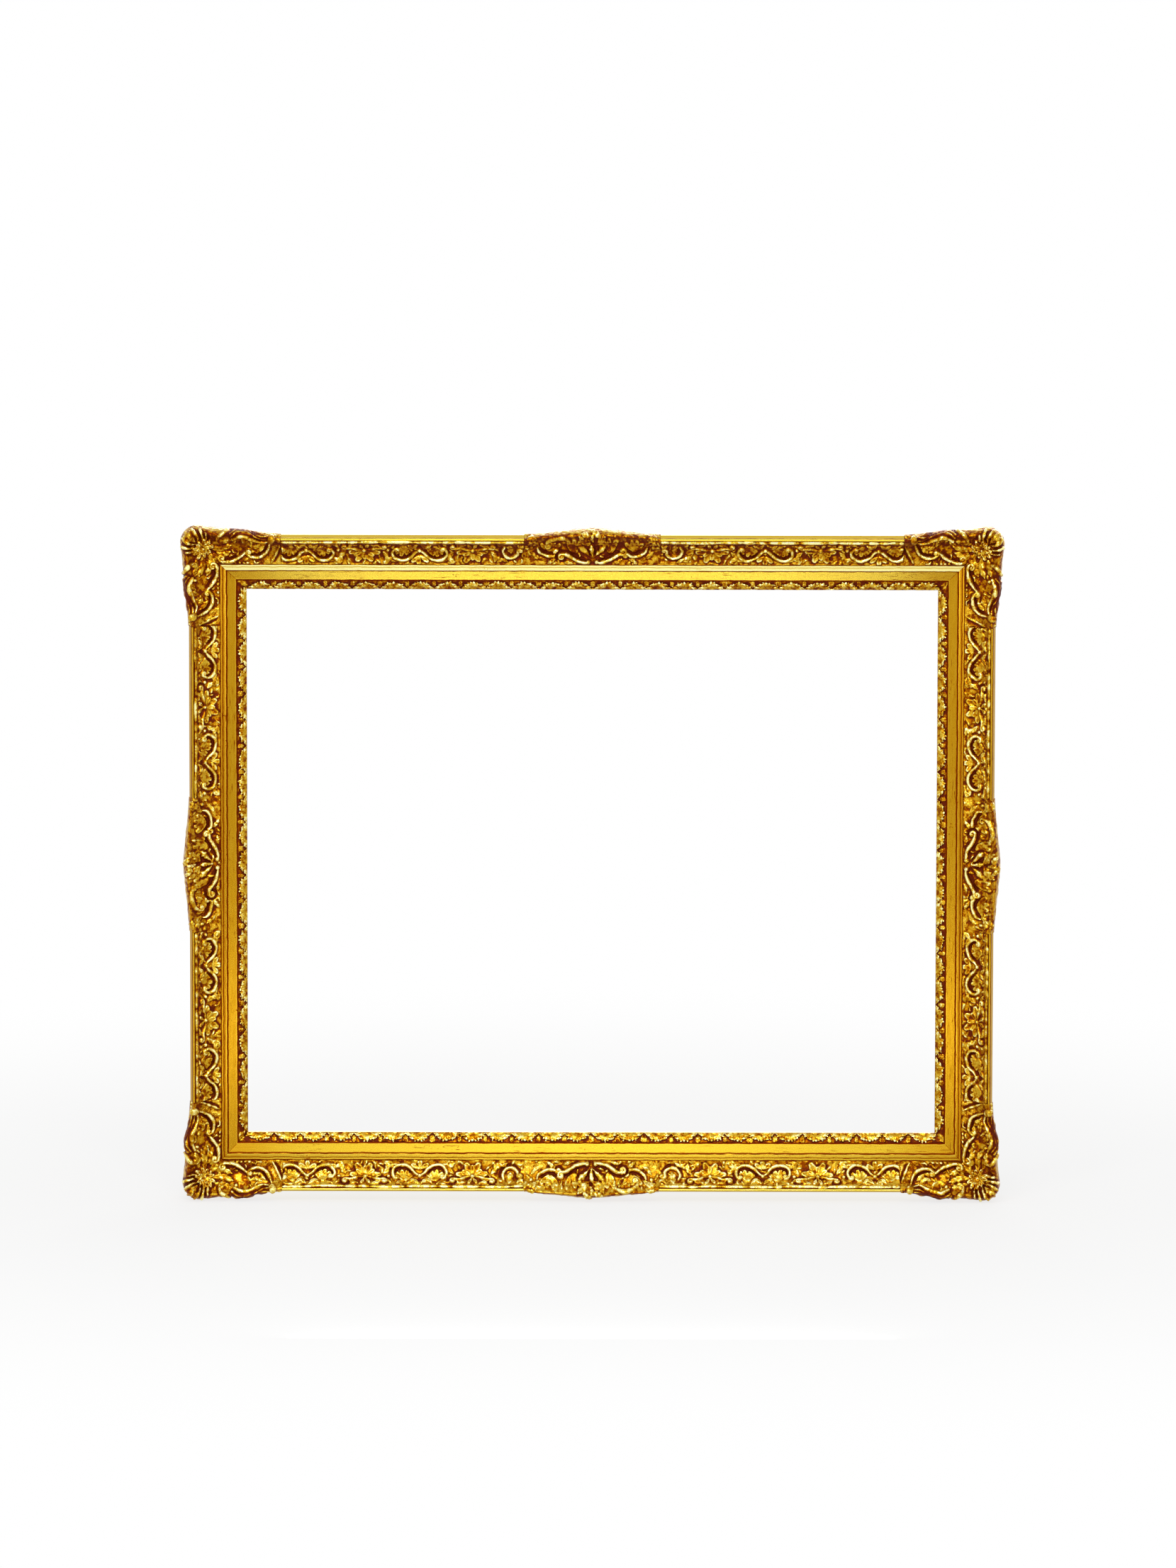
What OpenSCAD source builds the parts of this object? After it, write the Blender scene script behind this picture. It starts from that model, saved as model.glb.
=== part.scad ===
// Gilded swept picture frame: a mitred outer moulding with composition ornament,
// an inner slip with a plain frieze and a leaf sight edge, and the hardware on its back.
// Every side is drawn flat, as on a bench: x runs along the side, y inward from the
// outer face, z up from the back of the wood. hang() then lifts it into its place.

/* [Picture] */
// Width of the picture that the rebate takes
picture_w = 762; // [600:1:1000]
// Height of the picture that the rebate takes
picture_h = 610; // [500:1:800]
// Depth of the rebate, from the picture's face to the back
rebate_d = 18; // [14:0.5:22]
// Play between the picture and the rebate, on each side
picture_play = 1.5; // [0.5:0.1:3]
// Width of the lip over the picture's edge
lip_w = 7; // [5:0.5:9]
// Thickness of that lip at the sight edge
lip_t = 3.5; // [2.5:0.1:5]

/* [Slip] */
// Width of the leaf moulding at the sight edge
leaf_band_w = 10; // [8:0.1:12]
// Height that the leaf moulding's bed climbs across its width
leaf_band_rise = 6; // [4:0.1:8]
// Thickness of the leaf strip on its bed
leaf_strip_t = 1.8; // [1.2:0.1:2.4]
// Length of one leaf unit along the sight edge
leaf_pitch = 29; // [24:0.5:36]
// Height of the leaves above their strip
leaf_h = 0.9; // [0.5:0.1:1.4]
// Width of the plain frieze
frieze_w = 12; // [9:0.1:16]
// Height that the frieze climbs across its width
frieze_rise = 3.5; // [2:0.1:5]
// Width of the slip's tongue under the rail's fillet
tongue_w = 5; // [3:0.1:7]

/* [Rail] */
// Width of the flat fillet beside the frieze
fillet_w = 6.5; // [5:0.1:9]
// Thickness of the fillet over the slip's tongue
fillet_t = 3.5; // [2.5:0.1:5]
// Height that the fillet climbs across its width, away from the frieze
fillet_rise = 1.2; // [0.5:0.1:1.8]
// Step from the fillet down into the cove
cove_step = 1.4; // [0.8:0.1:1.6]
// Width of the cove
cove_w = 28; // [26:0.1:28.8]
// Radius of the cove
cove_r = 29.6; // [29.2:0.1:32]
// Width of the rim, from the cove's crest to the outer face
rim_w = 5.5; // [4.5:0.1:7]
// Height that the rim falls from its crest to the outer face
rim_fall = 11.5; // [9:0.1:13]
// Radius of the bead along the crest
bead_r = 1.6; // [1.2:0.1:1.9]

/* [Castings] */
// Length of a corner casting along each rail
corner_l = 100; // [90:1:110]
// Swell of a corner casting past the rail's outer face
corner_swell = 10; // [7:0.1:12]
// Radius of a corner casting's rounded corner
corner_round = 20; // [14:0.5:26]
// Half the length of a centre casting
centre_l = 74; // [66:1:80]
// Swell of a centre casting past the rail's outer face
centre_swell = 8; // [6:0.1:10]
// Thickness of a casting at its inner edge
casting_t = 3; // [2.6:0.1:4]
// Height of a casting's crest above the rail's crest, at its most
crest_lift = 1.5; // [0.5:0.1:3]
// Height above the back at which the rail is sawn flat under a casting
seat_z = 37; // [36.5:0.1:39]
// Height above the back at which a casting's tail ends on the outer face
tail_z = 20; // [14:0.5:26]
// Thickness of the composition strip that lines the cove
strip_t = 1.4; // [1.2:0.1:1.8]
// Spacing of the motifs along the cove
motif_pitch = 61; // [56:0.5:68]
// Height of the scrolls above the strip
scroll_h = 3; // [2:0.1:3.6]
// Half the width of a scroll's band
scroll_w = 2.3; // [1.6:0.1:2.6]

/* [Hardware] */
// Thickness of the sheet steel that hangers and turn buttons are cut from
steel_t = 1.5; // [1:0.1:2]
// Width of a hanger strap
strap_w = 14; // [12:0.5:18]
// Length of a hanger strap below its ring's axis
strap_l = 44; // [38:1:52]
// Height of the rings' axis above the frame's middle
ring_z = 190; // [120:1:220]
// Radius of the ring's wire
ring_wire_r = 1.4; // [1.1:0.1:1.6]
// Half the width of the ring, to the middle of its wire
ring_half_w = 11; // [9.5:0.1:13]
// Radius of the screws' shanks
screw_r = 1.6; // [1.3:0.1:1.9]
// Radius of the screws' heads
screw_head_r = 3.3; // [2.9:0.1:3.8]
// Length of the screws' shanks in the wood
screw_l = 14; // [10:1:16]
// Length of a turn button from its screw to its tip
button_l = 17; // [14:0.5:19]
// Half the width of a turn button
button_r = 5.5; // [4.5:0.1:6.5]
// Radius of the wall bumpers
bumper_r = 7; // [5:0.5:9]

/* [Hidden] */
$fn = 48;

// Gap between glued pieces, and the overrun of cuts
glue_gap = 0.2;
over = 1;
// Running clearance of turning pieces
turn_gap = 0.4;
eye_gap = 0.08;

// Sides, counted from the bottom against the clock as seen from the front
BOTTOM = 0;
RIGHT = 1;
TOP = 2;
LEFT = 3;
quarter_turn = 90;

// Widths from the outer face inward
cove_in = rim_w + cove_w;
rail_w = cove_in + fillet_w;
frieze_in = rail_w + frieze_w;
face_w = frieze_in + leaf_band_w;
rebate_out = face_w - lip_w;
slip_out = rail_w - tongue_w;

// Half sizes of the whole moulding
half_w = picture_w / 2 + picture_play - lip_w + face_w;
half_h = picture_h / 2 + picture_play - lip_w + face_w;
function half_along(side) = side % 2 == 0 ? half_w : half_h;
function half_across(side) = side % 2 == 0 ? half_h : half_w;

// Heights above the back of the wood
sight_z = rebate_d + lip_t;
leaf_bed_z = sight_z + leaf_band_rise;
frieze_low_z = leaf_bed_z + leaf_strip_t;
frieze_top_z = frieze_low_z + frieze_rise;
fillet_z = frieze_top_z + fillet_t;
cove_low_z = fillet_z - cove_step;
cove_mid_z = cove_low_z + cove_r;
crest_z = cove_mid_z - sqrt(cove_r ^ 2 - cove_w ^ 2);
shoulder_z = crest_z - rim_fall;

gold = [0.83, 0.62, 0.12];
gold_deep = [0.72, 0.5, 0.1];
gold_bright = [0.93, 0.74, 0.22];
steel = [0.72, 0.72, 0.7];
felt = [0.2, 0.19, 0.18];

// Places

// Lifts a flat side into its place in the standing frame
module hang(side) {
    rotate([0, -quarter_turn * side, 0])
        translate([0, rebate_d, -half_across(side)])
            rotate([quarter_turn, 0, 0])
                children();
}

// Extrudes a section, drawn as width and height, along a side
module along(length) {
    rotate([quarter_turn, 0, quarter_turn])
        linear_extrude(length, center = true)
            children();
}

// The part of a side that lies between its mitres, from one width to another
module mitred(side, from_y, to_y) {
    half = half_along(side);
    translate([0, 0, -over])
        linear_extrude(crest_z + 2 * over)
            polygon([
                [-half + from_y, from_y], [half - from_y, from_y],
                [half - to_y, to_y], [-half + to_y, to_y]
            ]);
}

// Rails

module rail_section() {
    groove_y = rim_w / 2;
    difference() {
        polygon([
            [0, 0], [slip_out, 0], [slip_out, frieze_top_z], [rail_w, frieze_top_z],
            [rail_w, fillet_z - fillet_rise], [cove_in, fillet_z], [cove_in, crest_z - bead_r],
            [groove_y, crest_z - bead_r], [groove_y, shoulder_z + rim_fall / 2],
            [0, shoulder_z]
        ]);
        intersection() {
            translate([cove_in, cove_mid_z])
                circle(cove_r);
            square([cove_in, crest_z + over]);
        }
    }
    translate([rim_w - bead_r, crest_z - bead_r])
        circle(bead_r);
}

// Sawn flat, so that a casting has its seat
module casting_seats(side) {
    half = half_along(side);
    depth = crest_z - seat_z + over;
    for (way = [-1, 1])
        translate([way * (half - corner_l / 2 + over / 2), (cove_in - over) / 2, seat_z + depth / 2])
            cube([corner_l + over, cove_in + over, depth], center = true);
    translate([0, (cove_in - over) / 2, seat_z + depth / 2])
        cube([2 * centre_l, cove_in + over, depth], center = true);
}

// V nails: a bent steel strip driven across each mitre from the back
v_nail_wing = 6;
v_nail_t = 0.8;
v_nail_l = 10;
v_nail_gap = 0.05;
// How far along each mitre they sit, from the outer corner, as shares of the piece's width
rail_nail_shares = [0.32, 0.72];
slip_nail_share = 0.45;

function v_nail_places() = concat(
    [for (share = rail_nail_shares) share * slip_out],
    [slip_out + slip_nail_share * (rebate_out - slip_out)]
);

// One V nail and its slot, spread across the mitre at the left end of a side
module v_nail(side, place, gap) {
    fold = quarter_turn / 2;
    translate([place - half_along(side), place, -gap])
        rotate([0, 0, fold])
            linear_extrude(v_nail_l + 2 * gap)
                for (way = [-1, 1])
                    rotate([0, 0, way * fold])
                        translate([-gap, -v_nail_t / 2 - gap])
                            square([v_nail_wing + 2 * gap, v_nail_t + 2 * gap]);
}

module v_nail_slots(side) {
    for (place = v_nail_places(), end = [0, 1])
        mirror([end, 0, 0])
            v_nail(side, place, v_nail_gap);
}

module rail(side) {
    color(gold)
        hang(side)
            difference() {
                intersection() {
                    along(2 * half_along(side))
                        rail_section();
                    mitred(side, 0, rail_w);
                }
                casting_seats(side);
                v_nail_slots(side);
                if (side == LEFT || side == RIGHT)
                    hanger_screw_holes(side);
            }
}

// Slips

module slip_section() {
    polygon([
        [slip_out, 0], [rebate_out, 0], [rebate_out, rebate_d], [face_w, rebate_d],
        [face_w, sight_z], [frieze_in, leaf_bed_z], [frieze_in, frieze_low_z],
        [rail_w, frieze_top_z], [slip_out, frieze_top_z]
    ]);
}

module slip(side) {
    color(gold)
        hang(side)
            difference() {
                intersection() {
                    along(2 * half_along(side))
                        slip_section();
                    mitred(side, slip_out, face_w);
                }
                v_nail_slots(side);
                for (x = button_places(side))
                    translate([x, button_y, 0])
                        screw_hole();
            }
}

// Leaf strips on the sight edge

leaf_slope = atan(leaf_band_rise / leaf_band_w);
leaf_bed_w = leaf_band_w / cos(leaf_slope);
leaf_lip = leaf_bed_w / 8;
// Half of a leaf's outline, root to tip, as shares of the pitch and of the bed's width
leaf_shares = [
    [0.1, 0], [0.3, 0.08], [0.46, 0.36], [0.25, 0.4], [0.31, 0.72], [0.12, 0.64], [0, 0.97]
];

module leaf(pitch) {
    reach = leaf_bed_w - 2 * leaf_lip;
    half = [for (s = leaf_shares) [s[0] * pitch, s[1] * reach]];
    linear_extrude(leaf_strip_t + leaf_h)
        polygon(concat(half, [for (i = [len(half) - 2:-1:0]) [-half[i][0], half[i][1]]]));
}

// The strip and its leaves, flat on the bed, y from the sight edge outward
module leaf_strip_flat(side) {
    inner_half = half_along(side) - face_w;
    units = round(2 * inner_half / leaf_pitch);
    pitch = 2 * inner_half / units;
    along(2 * (inner_half + leaf_band_w))
        polygon([
            [0, 0], [leaf_bed_w, 0], [leaf_bed_w, leaf_strip_t],
            [leaf_bed_w - leaf_lip, leaf_strip_t], [leaf_lip, leaf_strip_t - leaf_h],
            [0, leaf_strip_t - leaf_h]
        ]);
    for (i = [0:units - 1])
        translate([(i + 0.5) * pitch - inner_half, leaf_lip, 0])
            leaf(pitch);
}

module leaf_strip(side) {
    color(gold_bright)
        hang(side)
            intersection() {
                translate([0, face_w, sight_z + glue_gap])
                    rotate([leaf_slope, 0, 180])
                        leaf_strip_flat(side);
                mitred(side, frieze_in + glue_gap, face_w);
            }
}

// Surfaces that the ornament stands on. A place on one is [along, across], and each
// surface has its own scale: millimetres in the cove, shares of the piece on a casting.

COVE = 0;
CORNER = 1;
CENTRE = 2;

strip_r = cove_r - glue_gap - strip_t;
strip_turn = 62;
strip_from = asin(glue_gap / strip_r);
strip_arc = strip_r * strip_turn * PI / 180;

// Swell along a casting, from its middle to its end, as shares of the most
corner_swell_shares = [[0, 1], [0.2, 0.74], [0.55, 0.52], [0.8, 0.22], [1, 0]];
centre_swell_shares = [[0, 1], [0.1, 0.93], [0.35, 0.68], [0.7, 0.3], [1, 0]];
swell_end = 0.8;
// Depth of a casting's rolled edge, and how steep its hollow gets at the crest
edge_t = 3;
hollow_share = 0.9;
corner_end = corner_l - glue_gap;
centre_end = centre_l - glue_gap;
casting_in = cove_in - glue_gap;
casting_arc = 1.2 * cove_w;

function swell(p, most, shares) = swell_end + (most - swell_end) * lookup(p, shares);

// Outer points of a corner casting's arm: round the corner, then along the rail
round_at = corner_round - corner_swell;
function round_swell(p) = sqrt(corner_round ^ 2 - (round_at - p) ^ 2) - round_at;
function arm_swell(p) = p < round_at ? round_swell(p)
    : swell((p - round_at) / (corner_end - round_at), corner_swell, corner_swell_shares);
arm_points = concat(
    [for (turn = [45, 20]) round_at - corner_round * sin(turn)],
    [for (row = corner_swell_shares) round_at + (corner_end - round_at) * row[0]]
);
arm_table = [for (p = arm_points) [(p + arm_swell(p)) / (corner_end + arm_swell(p)), arm_swell(p)]];

function casting_swell(kind, a) = kind == CORNER ? lookup(abs(a), arm_table)
    : swell(abs(a), centre_swell, centre_swell_shares);

// Plan of a place on a casting: y is the distance inward from the outer face
function casting_plan(kind, a, y) =
    kind == CENTRE ? [a * centre_end, y]
    : a < 0 ? [y, y - a * (corner_end - y)]
    : [y + a * (corner_end - y), y];

// Fullness of a casting, one in its middle and none at its ends
function fullness(a) = 1 - a ^ 2;
function crest_y(kind, a) = (rim_w - casting_swell(kind, a)) / 2;
function top_z(a) = crest_z - over / 2 + (crest_lift + over / 2) * fullness(a);
function edge_z(a) = shoulder_z - rim_fall / 2 * fullness(a);
function inner_z(a) = cove_low_z + strip_t + glue_gap + (casting_t - strip_t) * fullness(a);
function hollow(v) = (1 - sqrt(1 - (hollow_share * v) ^ 2)) / (1 - sqrt(1 - hollow_share ^ 2));

// Across a casting: 0 at its inner edge, 1 at its crest, 2 at its outer edge
function casting_y(kind, a, v) = v <= 1
    ? casting_in + (crest_y(kind, a) - casting_in) * v
    : crest_y(kind, a) - (crest_y(kind, a) + casting_swell(kind, a)) * sin(quarter_turn * (v - 1));
function casting_z(a, v) = v <= 1
    ? inner_z(a) + (top_z(a) - inner_z(a)) * hollow(v)
    : edge_z(a) + (top_z(a) - edge_z(a)) * cos(quarter_turn * (v - 1));

function cove_place(u) = let (turn = u[1] / strip_r * 180 / PI)
    [u[0], cove_in - strip_r * sin(turn), cove_mid_z - strip_r * cos(turn)];
function place(kind, u) = kind == COVE ? cove_place(u)
    : concat(casting_plan(kind, u[0], casting_y(kind, u[0], u[1])), casting_z(u[0], u[1]));
function scale_of(kind) = kind == COVE ? [1, 1]
    : kind == CORNER ? [corner_end - cove_w / 2, casting_arc]
    : [centre_end, casting_arc];

// Outward normal of a surface, by small steps along and across it
step = 0.01;
function normal(kind, u) =
    let (
        here = place(kind, u),
        way = cross(place(kind, u + [step, 0]) - here, place(kind, u + [0, step]) - here)
    )
    (way[2] < 0 ? -way : way) / norm(way);

// Place at a height off the surface, negative to sink in
function above(kind, u, height) = place(kind, u) + height * normal(kind, u);

// A closed skin over rings of equally many points
module skin(rings) {
    n = len(rings[0]);
    last = len(rings) - 1;
    polyhedron(
        points = [for (ring = rings) each ring],
        faces = concat(
            [[for (k = [0:n - 1]) k]],
            [for (i = [0:last - 1], k = [0:n - 1])
                let (j = (k + 1) % n)
                [i * n + k, (i + 1) * n + k, (i + 1) * n + j]],
            [for (i = [0:last - 1], k = [0:n - 1])
                let (j = (k + 1) % n)
                [i * n + k, (i + 1) * n + j, i * n + j]],
            [[for (k = [n - 1:-1:0]) last * n + k]]
        )
    );
}

// Strokes: ridges swept along a path, as the carver's scrolls, stems and petals

// How deep ornament is rooted in the ground under it
function root(kind) = kind == COVE ? 0.6 * strip_t : casting_t / 2;
// Fullness of a stroke along its path, by kind of stroke
scroll_shares = [[0, 0.55], [0.15, 0.8], [0.5, 1], [0.8, 0.8], [1, 0.6]];
petal_shares = [[0, 0.4], [0.5, 1], [1, 1]];
flute_shares = [[0, 0.5], [0.5, 1], [1, 0.8]];
leaf_stroke_shares = [[0, 0.2], [0.35, 1], [0.7, 0.7], [1, 0.2]];

function across_path(path, i) =
    let (way = path[min(i + 1, len(path) - 1)] - path[max(i - 1, 0)])
    [-way[1], way[0]] / norm(way);

function stroke_rings(kind, path, half_width, height, shares) =
    let (
        unit = scale_of(kind),
        flat = [for (u = path) [u[0] * unit[0], u[1] * unit[1]]]
    )
    [
        for (i = [0:len(path) - 1])
            let (
                full = lookup(i / (len(path) - 1), shares),
                side = across_path(flat, i) * half_width * full,
                aside = [side[0] / unit[0], side[1] / unit[1]]
            )
            [
                above(kind, path[i] - aside, -root(kind)),
                above(kind, path[i], height * full),
                above(kind, path[i] + aside, -root(kind))
            ]
    ];

module stroke(kind, path, half_width, height, shares) {
    skin(stroke_rings(kind, path, half_width, height, shares));
}

// A flute: a broad stroke that rolls over the crest, as one convex length after another
module flute(kind, path, half_width, height) {
    rings = stroke_rings(kind, path, half_width, height, flute_shares);
    for (i = [0:len(rings) - 2])
        hull()
            skin([rings[i], rings[i + 1]]);
}

// A boss with a smaller face: bead, knuckle or the eye of a scroll
module boss(kind, u, radius, height) {
    unit = scale_of(kind);
    corner_count = 5;
    top_share = 0.55;
    ring = [for (i = [0:corner_count - 1]) let (turn = 360 * i / corner_count)
        [radius * cos(turn) / unit[0], radius * sin(turn) / unit[1]]];
    hull()
        skin([
            [for (offset = ring) above(kind, u + offset, -root(kind))],
            [for (offset = ring) above(kind, u + offset * top_share, height)]
        ]);
}

function flipped(path) = [for (u = path) [-u[0], u[1]]];
function moved(path, x) = [for (u = path) u + [x, 0]];
function sized(path, by) = [for (u = path) [u[0] * by[0], u[1] * by[1]]];

// Cove ornament. Paths are shares of the motif's pitch and of the strip's arc,
// which counts from the fillet up to the crest.

c_scroll_shares = [
    [0.05, 0.62], [0.1, 0.26], [0.25, 0.13], [0.4, 0.3], [0.41, 0.62], [0.3, 0.68]
];
bracket_shares = [[0.42, 0.54], [0.32, 0.78], [0.12, 0.74], [0, 0.88]];
fan_turns = [-64, -32, 0, 32, 64];
fan_root_share = 0.7;
fan_reach_share = 0.55;

// A petal from near the root of its fan to its tip, turned from straight across the ground
petal_root_share = 0.25;

module petal(kind, from, reach, turn) {
    way = reach * [sin(turn), -cos(turn)];
    hull()
        stroke(kind, [from + petal_root_share * way, from + way], scroll_w * 1.2, scroll_h * 0.8,
            petal_shares);
}

module both_ways(kind, path, half_width, height, shares) {
    stroke(kind, path, half_width, height, shares);
    stroke(kind, flipped(path), half_width, height, shares);
}

module double_c(x) {
    size = [motif_pitch, strip_arc];
    for (path = [c_scroll_shares, flipped(c_scroll_shares)])
        stroke(COVE, moved(sized(path, size), x), scroll_w, scroll_h, scroll_shares);
    petal(COVE, [x, strip_arc * 0.46], strip_arc * 0.36, 0);
}

module fan(x) {
    size = [motif_pitch, strip_arc];
    for (path = [bracket_shares, flipped(bracket_shares)])
        stroke(COVE, moved(sized(path, size), x), scroll_w, scroll_h, scroll_shares);
    for (turn = fan_turns)
        petal(COVE, [x, strip_arc * fan_root_share], strip_arc * fan_reach_share, turn);
}

module strip_bed(length) {
    turns = [for (share = [0:1 / 4:1]) strip_from + (strip_turn - strip_from) * share];
    glued_r = cove_r - glue_gap;
    along(length)
        polygon(concat(
            [for (turn = turns)
                [cove_in - glued_r * sin(turn), cove_mid_z - glued_r * cos(turn)]],
            [for (i = [len(turns) - 1:-1:0])
                [cove_in - strip_r * sin(turns[i]), cove_mid_z - strip_r * cos(turns[i])]]
        ));
}

// One length of cove ornament, from a corner casting to the centre casting
module cove_ornament(side, end) {
    from = centre_l + glue_gap;
    to = half_along(side) - corner_l - glue_gap;
    motifs = round((to - from) / motif_pitch);
    spacing = (to - from) / motifs;
    color(gold_deep)
        hang(side)
            mirror([end, 0, 0])
                union() {
                    translate([(from + to) / 2, 0, 0])
                        strip_bed(to - from);
                    for (i = [0:motifs - 1])
                        let (x = to - (i + 0.5) * spacing)
                        if (i % 2 == 0)
                            double_c(x);
                        else
                            fan(x);
                    for (i = [1:motifs - 1])
                        boss(COVE, [from + i * spacing, strip_arc * 0.2], scroll_w, scroll_h * 0.8);
                }
}

// Castings

// Ring round a casting: over its face, round its edge, then back along its bed
module casting_body(kind, stations) {
    bed_r = cove_r - glue_gap;
    bed_z = seat_z + glue_gap;
    seat_turn = acos((cove_mid_z - bed_z) / bed_r);
    skin([
        for (a = stations)
            let (
                swell_here = casting_swell(kind, a),
                tail = tail_z + (edge_z(a) - edge_t - tail_z) * a ^ 2,
                face = [for (v = [0, 0.4, 0.7, 1, 1.5, 2])
                    [casting_y(kind, a, v), casting_z(a, v)]],
                back = concat(
                    [[-swell_here, edge_z(a) - edge_t], [-glue_gap, tail], [-glue_gap, bed_z]],
                    [for (share = [1, 0.5, 0])
                        let (turn = asin(glue_gap / bed_r) * (1 - share) + seat_turn * share)
                        [cove_in - bed_r * sin(turn), cove_mid_z - bed_r * cos(turn)]]
                )
            )
            [for (p = concat(face, back)) concat(casting_plan(kind, a, p[0]), p[1])]
    ]);
}

// The wood under a casting with half of the glue line, where no root of the ornament goes
module wood_under(from, to) {
    translate([(from + to) / 2, 0, 0])
        along(to - from)
            offset(delta = glue_gap / 2)
                intersection() {
                    rail_section();
                    square([cove_in, seat_z]);
                }
}

// Paths on a corner casting, along one arm
corner_scroll_shares = [
    [0.12, 0.3], [0.06, 0.16], [0.22, 0.1], [0.44, 0.32], [0.66, 0.66], [0.86, 0.52], [0.8, 0.3]
];
corner_leaf_shares = [[0.2, 0.6], [0.4, 0.84], [0.64, 1.05]];
corner_flute_places = [0, 0.12, 0.24];

module corner_ornament() {
    both_ways(CORNER, corner_scroll_shares, scroll_w * 1.5, scroll_h * 1.2, scroll_shares);
    both_ways(CORNER, corner_leaf_shares, scroll_w * 2.2, scroll_h, leaf_stroke_shares);
    for (way = [-1, 1]) {
        boss(CORNER, [way * 0.74, 0.4], scroll_w * 1.5, scroll_h);
    }
    for (at = corner_flute_places, way = at > 0 ? [-1, 1] : [1])
        flute(CORNER, [[way * at * 0.6, 0.72], [way * at * 0.85, 1], [way * at, 1.5]],
            scroll_w * 1.5, scroll_h * 0.6);
    boss(CORNER, [0, 0.5], scroll_w * 2.6, scroll_h * 1.4);
}

// Paths on a centre casting, along one half
centre_scroll_shares = [
    [0.03, 0.26], [0.12, 0.12], [0.34, 0.4], [0.52, 0.54], [0.62, 0.36], [0.53, 0.2]
];
centre_c_shares = [[0.7, 0.3], [0.73, 0.54], [0.84, 0.66], [0.94, 0.5]];
// Lobes of the palmette: places along the casting at their roots and at their tips
centre_lobe_shares = [[0, 0], [0.08, 0.2]];

module centre_ornament() {
    both_ways(CENTRE, centre_scroll_shares, scroll_w * 1.4, scroll_h, scroll_shares);
    both_ways(CENTRE, centre_c_shares, scroll_w * 1.2, scroll_h, scroll_shares);
    for (way = [-1, 1]) {
        boss(CENTRE, [way * 0.51, 0.34], scroll_w * 1.2, scroll_h);
        boss(CENTRE, [way * 0.04, 0.34], scroll_w * 1.4, scroll_h * 1.2);
    }
    for (lobe = centre_lobe_shares, way = lobe[0] > 0 ? [-1, 1] : [1])
        flute(CENTRE, [[way * lobe[0], 0.5], [way * (lobe[0] + lobe[1]) / 2, 1], [way * lobe[1], 1.5]],
            scroll_w * 2.2, scroll_h * 0.7);
}

// Stations from one end of a casting to the other, from those of one half
function mirrored(stations) = concat([for (i = [len(stations) - 1:-1:1]) -stations[i]], stations);

module corner_casting(side) {
    color(gold)
        hang(side)
            translate([-half_along(side), 0, 0])
                difference() {
                    union() {
                        casting_body(CORNER, mirrored([for (row = arm_table) row[0]]));
                        corner_ornament();
                    }
                    for (swapped = [0, 1])
                        mirror([swapped, -swapped, 0])
                            wood_under(-glue_gap / 2, corner_l + over);
                }
}

module centre_casting(side) {
    color(gold)
        hang(side)
            difference() {
                union() {
                    casting_body(CENTRE, mirrored([for (row = centre_swell_shares) row[0]]));
                    centre_ornament();
                }
                wood_under(-centre_l - over, centre_l + over);
            }
}

// Hardware on the back. on_back() draws as seen from behind: x to the right, y up,
// z out of the wood.

strap_x = half_w - slip_out / 2;
eye_r = ring_wire_r + eye_gap + steel_t;
eye_z = eye_r + turn_gap;
strap_screw_places = [27, 38];
screw_head_h = 1.4;
button_y = slip_out + 0.4 * (rebate_out - slip_out);
button_tip_share = 0.6;
bumper_h = eye_z + eye_r + 0.4;
bumper_inset = slip_out / 2;

// Where the buttons sit along a side
function button_places(side) = side % 2 == 0
    ? [for (way = [-1, 1]) way * picture_w / 4]
    : [0];

module on_back(x, y) {
    translate([0, rebate_d, 0])
        rotate([quarter_turn, 0, 2 * quarter_turn])
            translate([x, y, 0])
                children();
}

module screw_hole() {
    play = 0.1;
    translate([0, 0, -over])
        cylinder(h = screw_l + over + play, r = screw_r + play / 2);
}

// A pan-head screw: its head sits on a plate at the given height off the back
module screw(plate_z) {
    translate([0, 0, -screw_l])
        cylinder(h = screw_l + plate_z + screw_head_h / 2, r = screw_r);
    slot_w = 0.7;
    difference() {
        translate([0, 0, plate_z])
            cylinder(h = screw_head_h, r = screw_head_r);
        translate([0, 0, plate_z + screw_head_h])
            cube([2 * screw_head_r + over, slot_w, screw_head_h], center = true);
    }
}

module hanger_screw_holes(side) {
    way = side == RIGHT ? 1 : -1;
    for (at = strap_screw_places)
        translate([way * (ring_z - at), slip_out / 2, 0])
            screw_hole();
}

module hanger_strap(way) {
    color(steel)
        on_back(way * strap_x, ring_z)
            difference() {
                union() {
                    translate([-strap_w / 2, -strap_l + strap_w / 2, 0])
                        cube([strap_w, strap_l - strap_w / 2, steel_t]);
                    translate([0, -strap_l + strap_w / 2, 0])
                        cylinder(h = steel_t, r = strap_w / 2);
                    translate([-strap_w / 2, -eye_r, 0])
                        cube([strap_w, eye_r, eye_z]);
                    translate([0, 0, eye_z])
                        rotate([0, quarter_turn, 0])
                            cylinder(h = strap_w, r = eye_r, center = true);
                }
                translate([0, 0, eye_z])
                    rotate([0, quarter_turn, 0])
                        cylinder(h = strap_w + 2 * over, r = ring_wire_r + eye_gap, center = true);
                for (at = strap_screw_places)
                    translate([0, -at, -over])
                        cylinder(h = steel_t + 2 * over, r = screw_r + eye_gap);
            }
}

// A D ring: a bar through the strap's eye, two elbows, two legs and a round end
ring_elbow_r = 3;
ring_leg = 5;

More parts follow.
